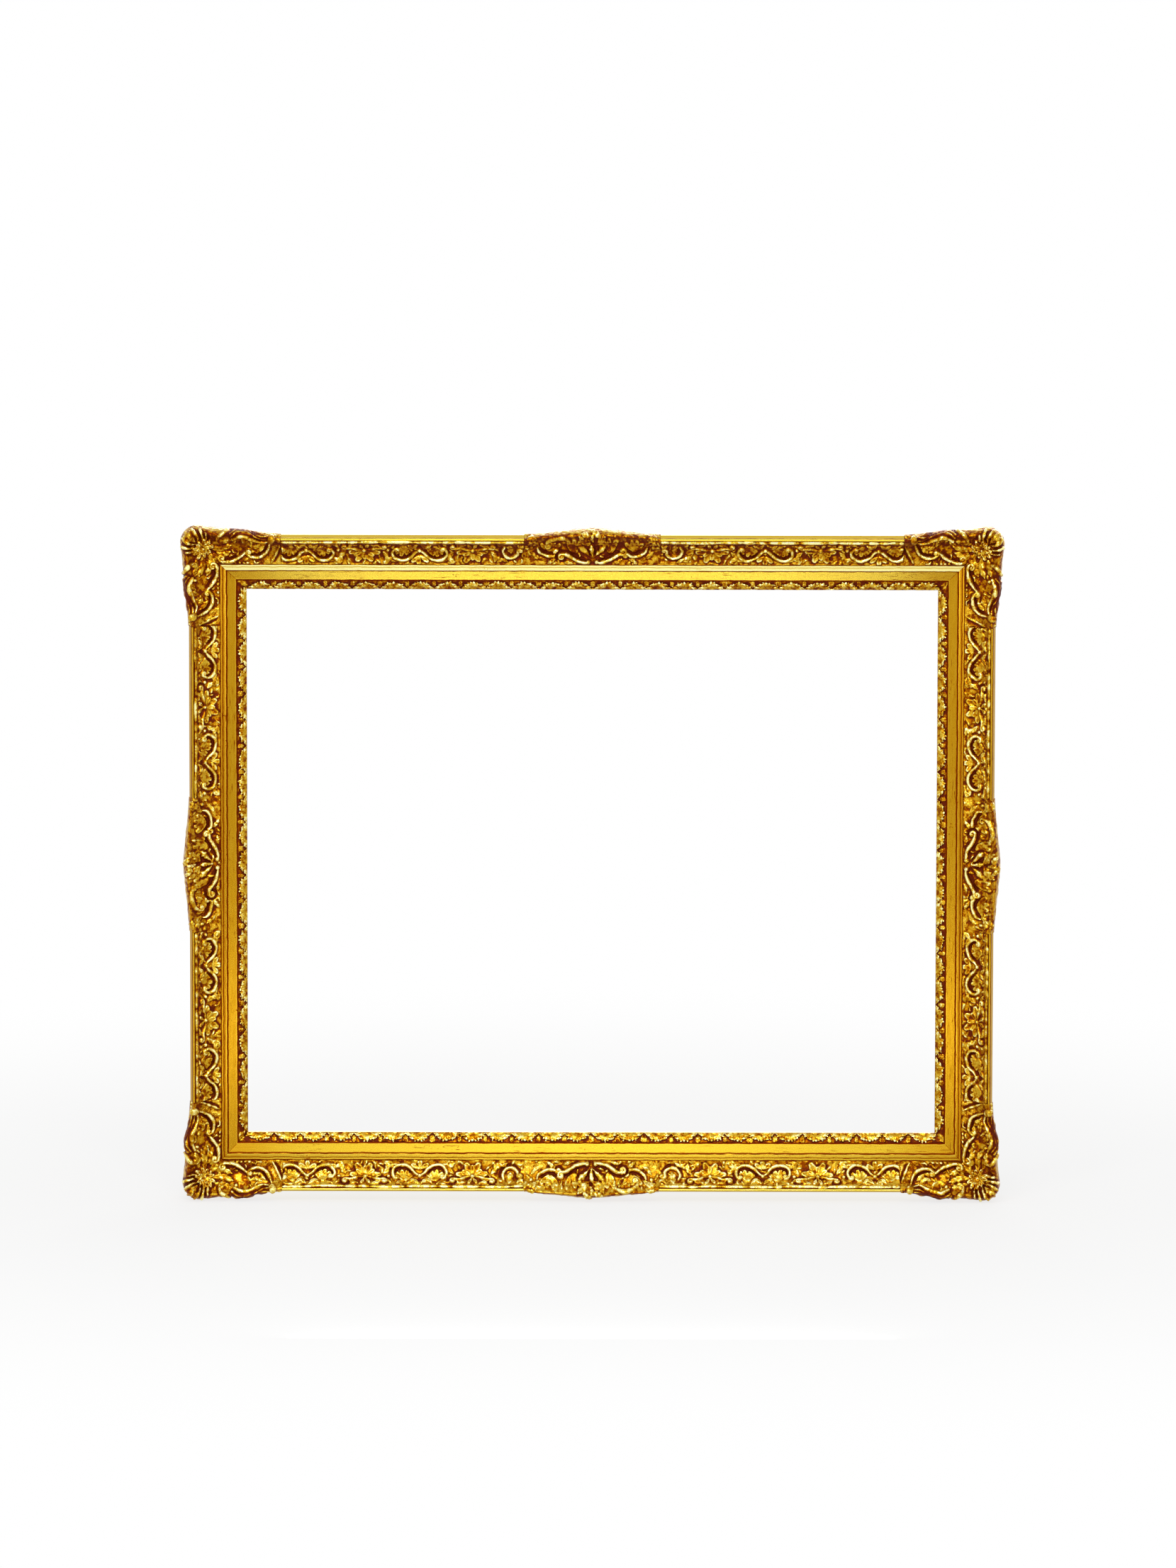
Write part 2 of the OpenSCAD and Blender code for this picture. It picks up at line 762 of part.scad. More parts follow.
module hanger_ring(way) {
    color(steel)
        on_back(way * strap_x, ring_z)
            translate([0, 0, eye_z]) {
                rotate([0, quarter_turn, 0])
                    cylinder(h = 2 * (ring_half_w - ring_elbow_r), r = ring_wire_r, center = true);
                for (end = [0, 1])
                    mirror([end, 0, 0]) {
                        translate([ring_half_w - ring_elbow_r, -ring_elbow_r, 0])
                            rotate_extrude(angle = quarter_turn)
                                translate([ring_elbow_r, 0])
                                    circle(ring_wire_r);
                        translate([ring_half_w, -ring_elbow_r, 0])
                            rotate([quarter_turn, 0, 0])
                                cylinder(h = ring_leg, r = ring_wire_r);
                    }
                translate([0, -ring_elbow_r - ring_leg, 0])
                    rotate([0, 0, 2 * quarter_turn])
                        rotate_extrude(angle = 2 * quarter_turn)
                            translate([ring_half_w, 0])
                                circle(ring_wire_r);
            }
}

module hanger_screws() {
    color(steel)
        for (way = [-1, 1], at = strap_screw_places)
            on_back(way * strap_x, ring_z - at)
                screw(steel_t);
}

module turn_button(side, x) {
    tip_r = button_r * button_tip_share;
    color(steel)
        hang(side)
            translate([x, button_y, -turn_gap - steel_t])
                linear_extrude(steel_t)
                    difference() {
                        union() {
                            circle(button_r);
                            polygon([
                                [0, -button_r], [button_l - tip_r, -tip_r],
                                [button_l - tip_r, tip_r], [0, button_r]
                            ]);
                            translate([button_l - tip_r, 0])
                                circle(tip_r);
                        }
                        circle(screw_r + eye_gap);
                    }
}

module turn_button_screws() {
    color(steel)
        for (side = [BOTTOM, RIGHT, TOP, LEFT], x = button_places(side))
            hang(side)
                translate([x, button_y, 0])
                    mirror([0, 0, 1])
                        screw(steel_t + 2 * turn_gap);
}

module v_nails() {
    color(steel)
        for (side = [BOTTOM, RIGHT, TOP, LEFT], place = v_nail_places())
            hang(side)
                v_nail(side, place, 0);
}

module wall_bumpers() {
    color(felt)
        for (x = [-1, 1], y = [-1, 1])
            on_back(x * (half_w - bumper_inset), y * (half_h - bumper_inset))
                cylinder(h = bumper_h, r = bumper_r);
}

rail(BOTTOM);  // rail_bottom
rail(RIGHT);  // rail_right
rail(TOP);  // rail_top
rail(LEFT);  // rail_left
slip(BOTTOM);  // slip_bottom
slip(RIGHT);  // slip_right
slip(TOP);  // slip_top
slip(LEFT);  // slip_left
cove_ornament(BOTTOM, 0);  // cove_ornament_bottom_right
cove_ornament(BOTTOM, 1);  // cove_ornament_bottom_left
cove_ornament(RIGHT, 0);  // cove_ornament_right_top
cove_ornament(RIGHT, 1);  // cove_ornament_right_bottom
cove_ornament(TOP, 0);  // cove_ornament_top_left
cove_ornament(TOP, 1);  // cove_ornament_top_right
cove_ornament(LEFT, 0);  // cove_ornament_left_bottom
cove_ornament(LEFT, 1);  // cove_ornament_left_top
corner_casting(BOTTOM);  // corner_casting_bottom_left
corner_casting(RIGHT);  // corner_casting_bottom_right
corner_casting(TOP);  // corner_casting_top_right
corner_casting(LEFT);  // corner_casting_top_left
centre_casting(BOTTOM);  // centre_casting_bottom
centre_casting(RIGHT);  // centre_casting_right
centre_casting(TOP);  // centre_casting_top
centre_casting(LEFT);  // centre_casting_left
leaf_strip(BOTTOM);  // leaf_strip_bottom
leaf_strip(RIGHT);  // leaf_strip_right
leaf_strip(TOP);  // leaf_strip_top
leaf_strip(LEFT);  // leaf_strip_left
v_nails();
hanger_strap(1);  // hanger_strap_left
hanger_strap(-1);  // hanger_strap_right
hanger_ring(1);  // hanger_ring_left
hanger_ring(-1);  // hanger_ring_right
hanger_screws();
turn_button(BOTTOM, button_places(BOTTOM)[0]);  // turn_button_bottom_left
turn_button(BOTTOM, button_places(BOTTOM)[1]);  // turn_button_bottom_right
turn_button(RIGHT, 0);  // turn_button_right
turn_button(TOP, button_places(TOP)[0]);  // turn_button_top_right
turn_button(TOP, button_places(TOP)[1]);  // turn_button_top_left
turn_button(LEFT, 0);  // turn_button_left
turn_button_screws();
wall_bumpers();
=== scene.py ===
"""Gilded swept picture frame: relief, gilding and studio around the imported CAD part"""
from functools import partial
from itertools import product
from math import acos, atan2, cos, pi, radians, sin, sqrt

import bpy
import numpy as np
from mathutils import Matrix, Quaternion, Vector


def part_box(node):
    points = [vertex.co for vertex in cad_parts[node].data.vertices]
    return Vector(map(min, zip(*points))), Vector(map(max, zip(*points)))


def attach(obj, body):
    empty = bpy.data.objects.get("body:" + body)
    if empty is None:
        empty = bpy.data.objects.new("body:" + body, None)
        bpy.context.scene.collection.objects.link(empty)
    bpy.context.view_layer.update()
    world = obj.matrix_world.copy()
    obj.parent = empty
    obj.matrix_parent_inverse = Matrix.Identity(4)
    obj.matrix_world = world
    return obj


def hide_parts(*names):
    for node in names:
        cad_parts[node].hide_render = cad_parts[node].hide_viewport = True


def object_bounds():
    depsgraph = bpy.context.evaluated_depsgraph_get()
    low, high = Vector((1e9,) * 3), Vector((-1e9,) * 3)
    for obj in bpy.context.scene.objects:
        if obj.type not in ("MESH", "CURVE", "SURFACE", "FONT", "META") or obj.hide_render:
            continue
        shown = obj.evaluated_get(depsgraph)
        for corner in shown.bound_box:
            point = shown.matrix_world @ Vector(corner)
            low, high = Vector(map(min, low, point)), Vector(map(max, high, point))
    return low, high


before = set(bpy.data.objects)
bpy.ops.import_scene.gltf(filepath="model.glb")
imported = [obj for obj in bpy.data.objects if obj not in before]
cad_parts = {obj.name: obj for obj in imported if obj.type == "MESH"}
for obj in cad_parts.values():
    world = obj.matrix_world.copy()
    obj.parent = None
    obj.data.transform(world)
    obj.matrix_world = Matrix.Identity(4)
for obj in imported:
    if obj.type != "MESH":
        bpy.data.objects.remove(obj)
cad_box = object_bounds()

# Millimetres, until a mesh is made. A side is worked flat, as in the part's source:
# x along the side, y inward from the outer face, z up from the back of the wood.
MM = 0.001
BOTTOM, TOP = 0, 2
# Whatever is given by side is in this order
SIDE_NAMES = ("bottom", "right", "top", "left")
HALF_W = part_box("rail_right")[1].x / MM
HALF_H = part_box("rail_top")[1].z / MM
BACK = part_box("rail_top")[1].y / MM
# How far the relief keeps inside the part's box, in front and at the sides
FRONT_CLEAR, SIDE_CLEAR = 0.1, 0.05
FRONT_LIMIT = BACK - cad_box[0].y / MM - FRONT_CLEAR
SWELL_LIMIT = cad_box[1].x / MM - HALF_W - SIDE_CLEAR

# The moulding's section
RIM_W = 5.5
BEAD_R = 1.6
BEAD_IN = RIM_W - BEAD_R
COVE_IN = 33.5
COVE_R = 29.6
COVE_LOW_Z = 34.9
COVE_MID_Z = COVE_LOW_Z + COVE_R
CREST_Z = 54.9
SHOULDER_Z = 43.4
RAIL_IN = 40
FRIEZE_IN = 52
FACE_IN = 62
SIGHT_Z = 21.5
LEAF_RISE = 6
REBATE_OUT = 55
GLUE = 0.2
# The bed that ornament is glued to, just off the cove
BED_R = COVE_R - GLUE

# The castings and strips that the relief replaces
STRIP_T = 1.4
STRIP_R = BED_R - STRIP_T
STRIP_TURN = radians(62)
LUMP_TURN = radians(64.6)
CORNER_L = 99.8
CENTRE_L = 73.8
CORNER_ROUND = 20
CASTING_T = 3
CREST_LIFT = 1.5
SEAT_Z = 37
TAIL_Z = 20
EDGE_T = 3
# How far a casting's outer edge drops at its middle
EDGE_DROP = 5.75
HOLLOW_SHARE = 0.9
CORNER_SWELL_SHARES = ((0, 1), (0.2, 0.74), (0.55, 0.52), (0.8, 0.22), (1, 0.08))
CENTRE_SWELL_SHARES = ((0, 1), (0.1, 0.93), (0.35, 0.68), (0.7, 0.3), (1, 0.1))
CORNER_SWELL = 10
CENTRE_SWELL = 8
# Where the long leaves stand out past a corner's edge, and over what length
LEAVES_AT, LEAVES_SPREAD = 57, 10
# How far lobes stand out past the casting's edge
LOBE = 0.6

# Gap that filler leaves between a strip and a casting
SEAM = 0.01
# Where along a casting its section starts to turn into the moulding's own
MERGE_FROM = 0.78

# Spacing of the relief's mesh
PITCH = 0.62
# Unevenness of handwork: its spread in cells, and its height on each kind
HAND_SPREAD = 2.6
COVE_HAND, CASTING_HAND, SIGHT_HAND = 0.2, 0.22, 0.16


def hang(side, flat):
    """Flat places of a side, in millimetres, as places in the standing frame, in metres"""
    x, y, z = flat[..., 0], flat[..., 1], flat[..., 2]
    deep = BACK - z
    placed = (
        (x, deep, y - HALF_H),
        (HALF_W - y, deep, x),
        (-x, deep, HALF_H - y),
        (y - HALF_W, deep, -x),
    )
    return np.stack(placed[side], axis=-1) * MM


def cove_at(turn, radius):
    """Distance inward and height of a place in the cove, turned from straight down about its middle"""
    return COVE_IN - radius * np.sin(turn), COVE_MID_Z - radius * np.cos(turn)


def half_along(side):
    return HALF_W if side in (BOTTOM, TOP) else HALF_H


# Relief

# Fullness along a stroke, by kind, as shares
SCROLL = ((0, 0.5), (0.12, 0.85), (0.5, 1), (0.85, 0.8), (1, 0.5))
TAPER_IN = ((0, 0.25), (0.35, 0.8), (0.7, 1), (1, 0.8))
FLARE = ((0, 0.3), (0.5, 0.7), (0.85, 1), (1, 0.6))
LEAF_WIDTH = ((0, 0.35), (0.3, 0.95), (0.6, 1), (0.85, 0.7), (1, 0.05))
PETAL_WIDTH = ((0, 0.3), (0.4, 0.75), (0.75, 1), (1, 0.72))
# Width of the dark ditch beside a scroll
DITCH = 3.1
# How far a carver's hand strays
STRAY = 0.28
# Share of the dirt and painted shade that stays where something rises over it
DIRT_SHADE_LEFT = 0.15
# How wide and how low a spot is that still counts as bare ground
BARE_R, BARE_HEIGHT = 1.9, 0.6


def held(value):
    return np.clip(value, 0, 1)


def share_at(share, table):
    return np.interp(share, *zip(*table))


def heading(turn):
    """A step of one. turn is in degrees from straight towards y zero"""
    turned = radians(turn)
    return np.array([sin(turned), -cos(turned)])


def smooth_path(points, spacing=0.8):
    """A Catmull-Rom curve through given points"""
    p = np.array(points, float)
    if len(p) < 3:
        p = np.array([p[0] + (p[-1] - p[0]) * t for t in np.linspace(0, 1, 3)])
    ends = np.vstack([2 * p[0] - p[1], p, 2 * p[-1] - p[-2]])
    made = []
    for a, b, c, d in zip(ends, ends[1:], ends[2:], ends[3:]):
        t = np.linspace(0, 1, max(2, int(np.linalg.norm(c - b) / spacing)), endpoint=False)[:, None]
        made.append(0.5 * (2 * b + (c - a) * t + (2 * a - 5 * b + 4 * c - d) * t**2
                           + (3 * b - a - 3 * c + d) * t**3))
    return np.vstack(made + [p[-1:]])


def curled(path, radius, way, turns=1.3):
    """The path with its end wound into a spiral eye. way is 1 to the left and -1 to the right"""
    along = path[-1] - path[-3]
    along /= np.linalg.norm(along)
    aside = way * np.array([-along[1], along[0]])
    middle = path[-1] + radius * aside
    turn = np.linspace(0, turns * 2 * pi, int(turns * 16))[1:, None]
    shrink = radius * (1 - 0.72 * turn / turn[-1])
    spiral = middle + shrink * (-aside * np.cos(turn) + along * np.sin(turn))
    return np.vstack([path, spiral]), middle


def mirrored(points):
    return [(-x, y) for x, y in points]


def swapped(points):
    return [(y, x) for x, y in points]


def draw_each(draw, table, *more, **named):
    for *points, width, height in table:
        draw(points, width, height, *more, **named)


class Relief:
    """Height of the ornament above its ground, and the dirt and painted shade in its ditches, at places
    in millimetres
    """

    def __init__(self, x, y, seed):
        self.x, self.y = x, y
        self.height = np.zeros_like(x)
        self.dirt_and_shade = np.zeros_like(x)
        self.rng = np.random.default_rng(seed)

    def lift(self, where, rise, inside=True):
        over = inside & (rise > self.height[where])
        self.height[where] = np.where(over, rise, self.height[where])
        self.dirt_and_shade[where] *= np.where(over, DIRT_SHADE_LEFT, 1)

    def by_hand(self, points):
        """A smooth path through points that each stray a little"""
        p = np.array(points, float)
        return smooth_path(p + np.clip(self.rng.normal(size=p.shape), -1.6, 1.6) * STRAY)

    def near(self, path, reach):
        """The places near a path, their signed distance to it and their share along it"""
        low, high = path.min(0) - reach, path.max(0) + reach
        inside = (self.x > low[0]) & (self.x < high[0]) & (self.y > low[1]) & (self.y < high[1])
        where = np.nonzero(inside)
        if not len(where[0]):
            return where, np.zeros(0), np.zeros(0)
        spots = np.stack([self.x[where], self.y[where]], axis=1)
        start, step = path[:-1], np.diff(path, axis=0)
        length = np.maximum(np.linalg.norm(step, axis=1), 1e-9)
        off = spots[:, None] - start[None]
        t = held((off * step).sum(-1) / length**2)
        gap = off - t[..., None] * step
        away = np.linalg.norm(gap, axis=-1)
        best = away.argmin(axis=1)
        row = np.arange(len(best))
        run = np.concatenate([[0], np.cumsum(length)])
        along = (run[best] + t[row, best] * length[best]) / run[-1]
        cross = step[best, 0] * off[row, best, 1] - step[best, 1] * off[row, best, 0]
        return where, away[row, best] * np.where(cross < 0, -1, 1), along

    def stroke(self, points, width, height, shares=SCROLL, eye=0, way=1, ditch=0):
        """A rounded band along a path. ditch is 1 for a sunk ditch on its left and -1 on its right. The
        ditch is painted dark, with dirt and painted shade
        """
        path = self.by_hand(points)
        if eye:
            path, middle = curled(path, eye, way)
        where, away, along = self.near(path, width + DITCH)
        waves, start = self.rng.uniform(1.5, 3.5), self.rng.uniform(0, 6)
        full = share_at(along, shares) * (1 + 0.1 * np.sin(6.3 * waves * along + start))
        beyond = np.abs(away) / (width * full)
        if ditch:
            off = (away * ditch - width * full * 0.8) / DITCH
            sunk = held(1 - off**2) * (off > 0) * np.minimum(1, 6 * along * (1.1 - along))
            self.height[where] = self.height[where] * (1 - 0.75 * sunk) - 0.9 * sunk
            self.dirt_and_shade[where] = np.maximum(self.dirt_and_shade[where], sunk)
        rise = height * np.sqrt(full) * held(1 - beyond**2) ** 0.7
        self.lift(where, rise, beyond < 1)
        if eye:
            self.bead(middle, eye * 0.5, height * 1.05)

    def leaf(self, points, width, height, lobes=3):
        """An acanthus leaf: lobed sides, slanting ribs and a sunk middle vein"""
        where, away, along = self.near(self.by_hand(points), width)
        side = np.abs(away)
        phase = lobes * along - 0.6 * side / width
        scallop = 0.72 + 0.28 * np.abs(np.cos(pi * phase))
        q = side / (width * share_at(along, LEAF_WIDTH) * scallop)
        hump = 0.6 + 0.4 * np.sin(pi * np.clip(along, 0.15, 0.85))
        ribs = 0.75 + 0.25 * np.abs(np.cos(pi * phase))
        vein = 0.5 * np.exp(-((side / 0.6) ** 2)) * (1 - along)
        rise = height * np.sqrt(held(1 - q**3)) * hump * ribs - vein
        self.lift(where, rise, q < 1)

    def petal(self, root, turn, reach, width, height):
        """A spoon-shaped petal with a raised rim. turn is as in heading"""
        way = heading(turn + 3 * self.rng.normal())
        start = np.array(root, float)
        tip = start + reach * self.rng.uniform(0.93, 1.05) * way
        where, away, along = self.near(smooth_path([start + 0.15 * reach * way, tip]), width)
        q = np.abs(away) / (width * share_at(along, PETAL_WIDTH))
        hollow = 0.35 * np.exp(-((q / 0.5) ** 2)) * held(along * 1.6)
        rise = height * (np.sqrt(held(1 - q**4)) - hollow) * (0.55 + 0.45 * along)
        self.lift(where, rise, q < 1)

    def fan(self, root, turns, reach, width, height):
        for turn in turns:
            self.petal(root, turn, reach, width, height)

    def oval(self, at, radius, long, turn):
        """Squared distance from an oval's middle, in its radii. long is its length over its width"""
        dx, dy = self.x - at[0], self.y - at[1]
        c, s = cos(radians(turn)), sin(radians(turn))
        return ((c * dx + s * dy) / (radius * long)) ** 2 + ((c * dy - s * dx) / radius) ** 2

    def bead(self, at, radius, height, long=1, turn=0):
        off = self.oval(at, radius, long, turn)
        where = np.nonzero(off < 1)
        self.lift(where, height * np.sqrt(1 - off[where]))

    def pit(self, at, radius, depth, long=1, turn=0):
        """Sinks a hollow, painted dark with dirt and painted shade"""
        sunk = np.exp(-(self.oval(at, radius, long, turn) ** 2))
        self.height -= depth * sunk
        self.dirt_and_shade = np.maximum(self.dirt_and_shade, sunk)

    def net(self, low, high, pitch, height, soft=2.5):
        """A diaper of lozenges with a dot in each, over a box with soft sides"""
        a = np.abs(np.sin(pi * (self.x + self.y) / pitch))
        b = np.abs(np.sin(pi * (self.x - self.y) / pitch))
        lines = (1 - np.minimum(a, b)) ** 3
        dots = 0.8 * held(a * b - 0.55) / 0.45
        sides = (self.x - low[0], high[0] - self.x, self.y - low[1], high[1] - self.y)
        fade = held(np.minimum.reduce(sides) / soft)
        self.lift(np.nonzero(fade > 0), (height * np.maximum(lines, dots) * fade)[fade > 0])

    def fill_in(self, low, high, count, keep_off=()):
        """Small curved leaves wherever the ground in a box is still bare"""
        for _ in range(count):
            at = self.rng.uniform(low, high)
            turn, bend = self.rng.uniform(0, 2 * pi), self.rng.uniform(-0.8, 0.8)
            long, wide, tall = self.rng.uniform((2.2, 1.0, 1.2), (4.2, 1.7, 2.0))
            close = np.hypot(self.x - at[0], self.y - at[1]) < BARE_R
            kept = any(np.hypot(*(at - place[:2])) < place[2] for place in np.array(keep_off, float))
            if kept or not close.any() or self.height[close].max() > BARE_HEIGHT:
                continue
            turns = (turn + bend, turn + pi)
            ends = [at + long * np.array([cos(t), sin(t)]) for t in turns]
            self.leaf((ends[1], at, ends[0]), wide, tall, 2)

    def both(self, kind, points, *sizes, flip=mirrored, **more):
        """The same feature twice, the second time flipped"""
        turned = {key: -value if key in ("way", "ditch") else value for key, value in more.items()}
        getattr(self, kind)(points, *sizes, **more)
        getattr(self, kind)(flip(points), *sizes, **turned)


def blurred(field, spread):
    """A field smoothed over so many cells"""
    reach = int(3 * spread)
    kernel = np.exp(-0.5 * (np.arange(-reach, reach + 1) / spread) ** 2)
    kernel /= kernel.sum()
    for axis in (0, 1):
        padded = np.pad(field, [(reach, reach) if i == axis else (0, 0) for i in (0, 1)], mode="edge")
        field = sum(k * np.take(padded, range(i, i + field.shape[axis]), axis=axis)
                    for i, k in enumerate(kernel))
    return field


def hand_noise(shape, spread, seed):
    """Seeded unevenness of handwork, about one high"""
    made = blurred(np.random.default_rng(seed).normal(size=shape), spread)
    return made / made.std()


def worked(height, amount, soft, seed, fade=1):
    """A relief's height with the unevenness of handwork, faded where the piece ends"""
    return blurred((height + amount * hand_noise(height.shape, HAND_SPREAD, seed)) * fade, soft)


# The gilding's scale: its level on flat ground, then the weights of near and wide ridges and of height,
# which paint bole and shade in recesses and burnish and highlight on ridges, then of the dirt and
# painted shade in ditches, and of the painted light from above on what faces upward
GROUND_TONE, NEAR_RIDGE, WIDE_RIDGE, HIGH_UP, DIRT_SHADE_WEIGHT, PAINTED_TOP_LIGHT = 0.53, 0.38, 0.08, 0.04, 0.46, 0.13
# Its level on backs
BACK_TONE = 0.35


def with_back(side, face, back, height, dirt_and_shade, painted_shade):
    """A piece's rings, and a tone for each place: low in recesses, high on ridges, as bole and burnish
    and as painted shade and highlight. Dirt and painted shade darken the ditches, a painted shade by
    side darkens the whole, and what faces upward is painted lighter and what faces downward darker, as
    light from above"""
    near, wide = height - blurred(height, 1.8), height - blurred(height, 5)
    made = GROUND_TONE + NEAR_RIDGE * near + WIDE_RIDGE * wide + HIGH_UP * height
    looks = normals_of(face)
    upward = (looks[..., 1], looks[..., 0], -looks[..., 1], -looks[..., 0])[side]
    # Painted light from above: upward faces lighter, downward faces darker
    tone_and_shading = held(made - DIRT_SHADE_WEIGHT * blurred(dirt_and_shade, 0.8) - painted_shade + PAINTED_TOP_LIGHT * upward)
    plain = np.full(back.shape[:2], BACK_TONE)
    return np.concatenate([face, back], axis=1), np.concatenate([tone_and_shading, plain], axis=1)


# Meshes

def normals_of(places):
    along, across = np.gradient(places, axis=0), np.gradient(places, axis=1)
    made = np.cross(along, across)
    made /= np.maximum(np.linalg.norm(made, axis=-1, keepdims=True), 1e-9)
    return made if made[..., 2].mean() > 0 else -made


def linked(name, data):
    made = bpy.data.objects.new(name, data)
    bpy.context.scene.collection.objects.link(made)
    return made


def skin(name, rings, values, sharp=48):
    """A closed skin over rings of equally many places, with its tone, painted shade and highlight as an
    attribute
    """
    count, around = rings.shape[:2]
    i, j = np.meshgrid(np.arange(count - 1) * around, np.arange(around), indexing="ij")
    k = (j + 1) % around
    quads = np.stack([i + j, i + k, i + around + k, i + around + j], axis=-1).reshape(-1, 4)
    places = rings.reshape(-1, 3)
    a, b, c, d = (places - places.mean(0))[quads.T]
    ends = [list(range(around - 1, -1, -1)), list(range((count - 1) * around, count * around))]
    mesh = bpy.data.meshes.new(name)
    mesh.from_pydata(places, [], quads.tolist() + ends)
    cavity = mesh.attributes.new("cavity", "FLOAT", "POINT")
    cavity.data.foreach_set("value", values.ravel().astype(np.float32))
    mesh.validate()
    mesh.shade_smooth()
    mesh.set_sharp_from_angle(angle=radians(sharp))
    if (a * (np.cross(b, c) + np.cross(c, d))).sum() < 0:
        mesh.flip_normals()
    return linked(name, mesh)


# Cove ornament

DOUBLE_C = (
    (1.2, 17.6), (5.2, 14.2), (9.5, 9), (15.5, 5.8), (22.5, 5.6), (28, 9.2), (29.6, 14.8), (27.6, 20),
)
MOUSTACHE = ((1, 18.8), (7, 19.6), (14, 22.6), (21, 22.4))
TONGUE = ((25, 4.4), (31.5, 7), (38.5, 3.2))
SINGLE_C = ((-6, 23), (-8, 16.5), (-4, 10), (3, 8.5), (8.5, 12.5), (8.5, 18))


def shifted(points, x, way=1):
    return [(x + way * a, b) for a, b in points]


def double_c(relief, x):
    """Two C scrolls back to back under a bunch of leaves"""
    for way in (-1, 1):
        relief.leaf(shifted(TONGUE, x, way), 3.4, 2.5, 2)
        relief.leaf(shifted(((30, 3), (35, 2), (40, 4.5)), x, way), 2, 1.8, 2)
        relief.fan((x + way * 16.5, 26), (-34, -11, 11, 34), 15, 3, 2)
        relief.leaf(shifted(((2, 27.6), (7.5, 23), (13, 27.4)), x, way), 3, 2.2, 2)
        relief.stroke(shifted(DOUBLE_C, x, way), 2.6, 3.1, eye=2.5, way=way, ditch=way)
        relief.bead((x + way * 34.4, 18.6), 2.3, 2.6)
        relief.leaf(shifted(((32, 26), (38, 23), (45, 26.5)), x, way), 2.6, 2.1, 2)
    relief.bead((x, 18), 2.5, 3.1)
    relief.fan((x, 10.6), (-52, 0, 52), 9.6, 3.2, 2.7)
    relief.pit((x, 22.6), 1.6, 0.5, long=2)


def flower(relief, x):
    """A flower of broad petals on two stems"""
    for way in (-1, 1):
        relief.leaf(shifted(((8, 27.4), (17, 26), (26, 28)), x, way), 2.8, 2.2, 2)
        relief.stroke(shifted(MOUSTACHE, x, way), 2.4, 3.2, eye=2.4, way=way, ditch=-way)
        relief.leaf(shifted(((21, 15), (25, 9.5), (24, 3)), x, way), 3.4, 2.1, 2)
    relief.pit((x, 13), 9, 0.5, long=1.7)
    relief.fan((x, 18.6), (-80, -28, 28, 80), 14.8, 4.6, 2.7)
    relief.fan((x, 18.6), (-54, 0, 54), 11, 3, 3.1)
    relief.fan((x, 19.6), (150, 210), 8.6, 2.4, 2.4)
    relief.bead((x, 18.8), 2.6, 3.5)


def single_c(relief, x):
    relief.leaf(shifted(((-1, 27), (0, 21), (1, 13.5)), x), 4.4, 1.8, 2)
    relief.stroke(shifted(SINGLE_C, x), 2.6, 3.4, eye=2.5, way=-1, ditch=-1)
    relief.leaf(shifted(((8, 27), (12, 24), (18, 26)), x), 2.6, 2.2, 2)
    relief.bead((x - 12.5, 8), 2.2, 2.3)
    relief.leaf(shifted(((-14, 3.6), (-8, 6), (-2, 3)), x), 2.6, 2.1, 2)


# Distances of the motifs from the corner casting, as they stand in the photograph
LONG_MOTIFS = (
    (double_c, 27.5), (flower, 90.3), (double_c, 150.3), (flower, 207.8), (single_c, 248.5),
)
SHORT_MOTIFS = ((double_c, 27.5), (flower, 89), (double_c, 149.5))


# Painted shade on each side's ornament, and on each corner, in parts of the gilding's scale: the top is
# darkest, as less light falls on it. Below zero is brighter
SIDE_SHADE = (-0.02, 0.05, 0.12, 0.05)
CORNER_SHADE = (0.08, 0.08, 0.11, 0.1)
# How much paler hands have rubbed the castings' smooth rims
RUBBED = 0.14
# Rows of places behind a strip
BED_ROWS = 6
# First seeds of the strokes on each kind of piece
COVE_DRAWS, CASTING_DRAWS, SIGHT_DRAWS = 100, 200, 300


def cove_shade(side, up):
    """How much darker the ornament is painted, as shade, by its share of the way up the cove, most under
    the rim
    """
    return SIDE_SHADE[side] * (0.1 + 1.5 * up**2)


def cove_span(side):
    """Where along a side its cove runs, from the centre casting to the corner casting"""
    return CENTRE_L + SEAM, half_along(side) - CORNER_L - SEAM


def cove_relief(side, way, name, seed):
    """The ornament of one length of the cove. way is 1 ahead of the side's middle and -1 behind it"""
    low, high = cove_span(side)
    arc = STRIP_R * STRIP_TURN
    x, s = np.meshgrid(np.linspace(low, high, int((high - low) / PITCH)),
                       np.linspace(GLUE, arc, int(arc / PITCH)), indexing="ij")
    relief = Relief(high - x, s, COVE_DRAWS + seed)
    for motif, at in LONG_MOTIFS if side in (BOTTOM, TOP) else SHORT_MOTIFS:
        motif(relief, at)
    relief.fill_in((0, 1.5), (high - low, 29), int((high - low) * 1.5))
    edge = held(np.minimum(s - GLUE, arc - s) / 0.8)
    ends = held(np.minimum(x - low, high - x) / 0.8)
    height = worked(relief.height, COVE_HAND, 0.5, seed, edge * ends)
    places = np.stack([x, *cove_at(s / STRIP_R, STRIP_R)], axis=-1)
    face = places + normals_of(places) * height[..., None]
    back_x, turn = np.broadcast_arrays(x[:, :1], np.linspace(arc, GLUE, BED_ROWS) / STRIP_R)
    back = np.stack([back_x, *cove_at(turn, BED_R)], axis=-1)
    rings, values = with_back(side, face, back, height, relief.dirt_and_shade, cove_shade(side, s / arc))
    rings[..., 0] *= way
    return skin(name, hang(side, rings), values)


# Castings

def softened(table, spread=0.05):
    """A table of shares, smoothed, as two fine rows"""
    fine = np.linspace(0, 1, 401)
    rough = share_at(fine, table)
    doubled = np.concatenate([rough[::-1], rough[1:], np.full(400, rough[-1])])
    return fine, blurred(doubled[None], spread * 400)[0][400:801]


def centre_swell(share):
    return np.interp(share, *softened(CENTRE_SWELL_SHARES)) * (CENTRE_SWELL - LOBE)


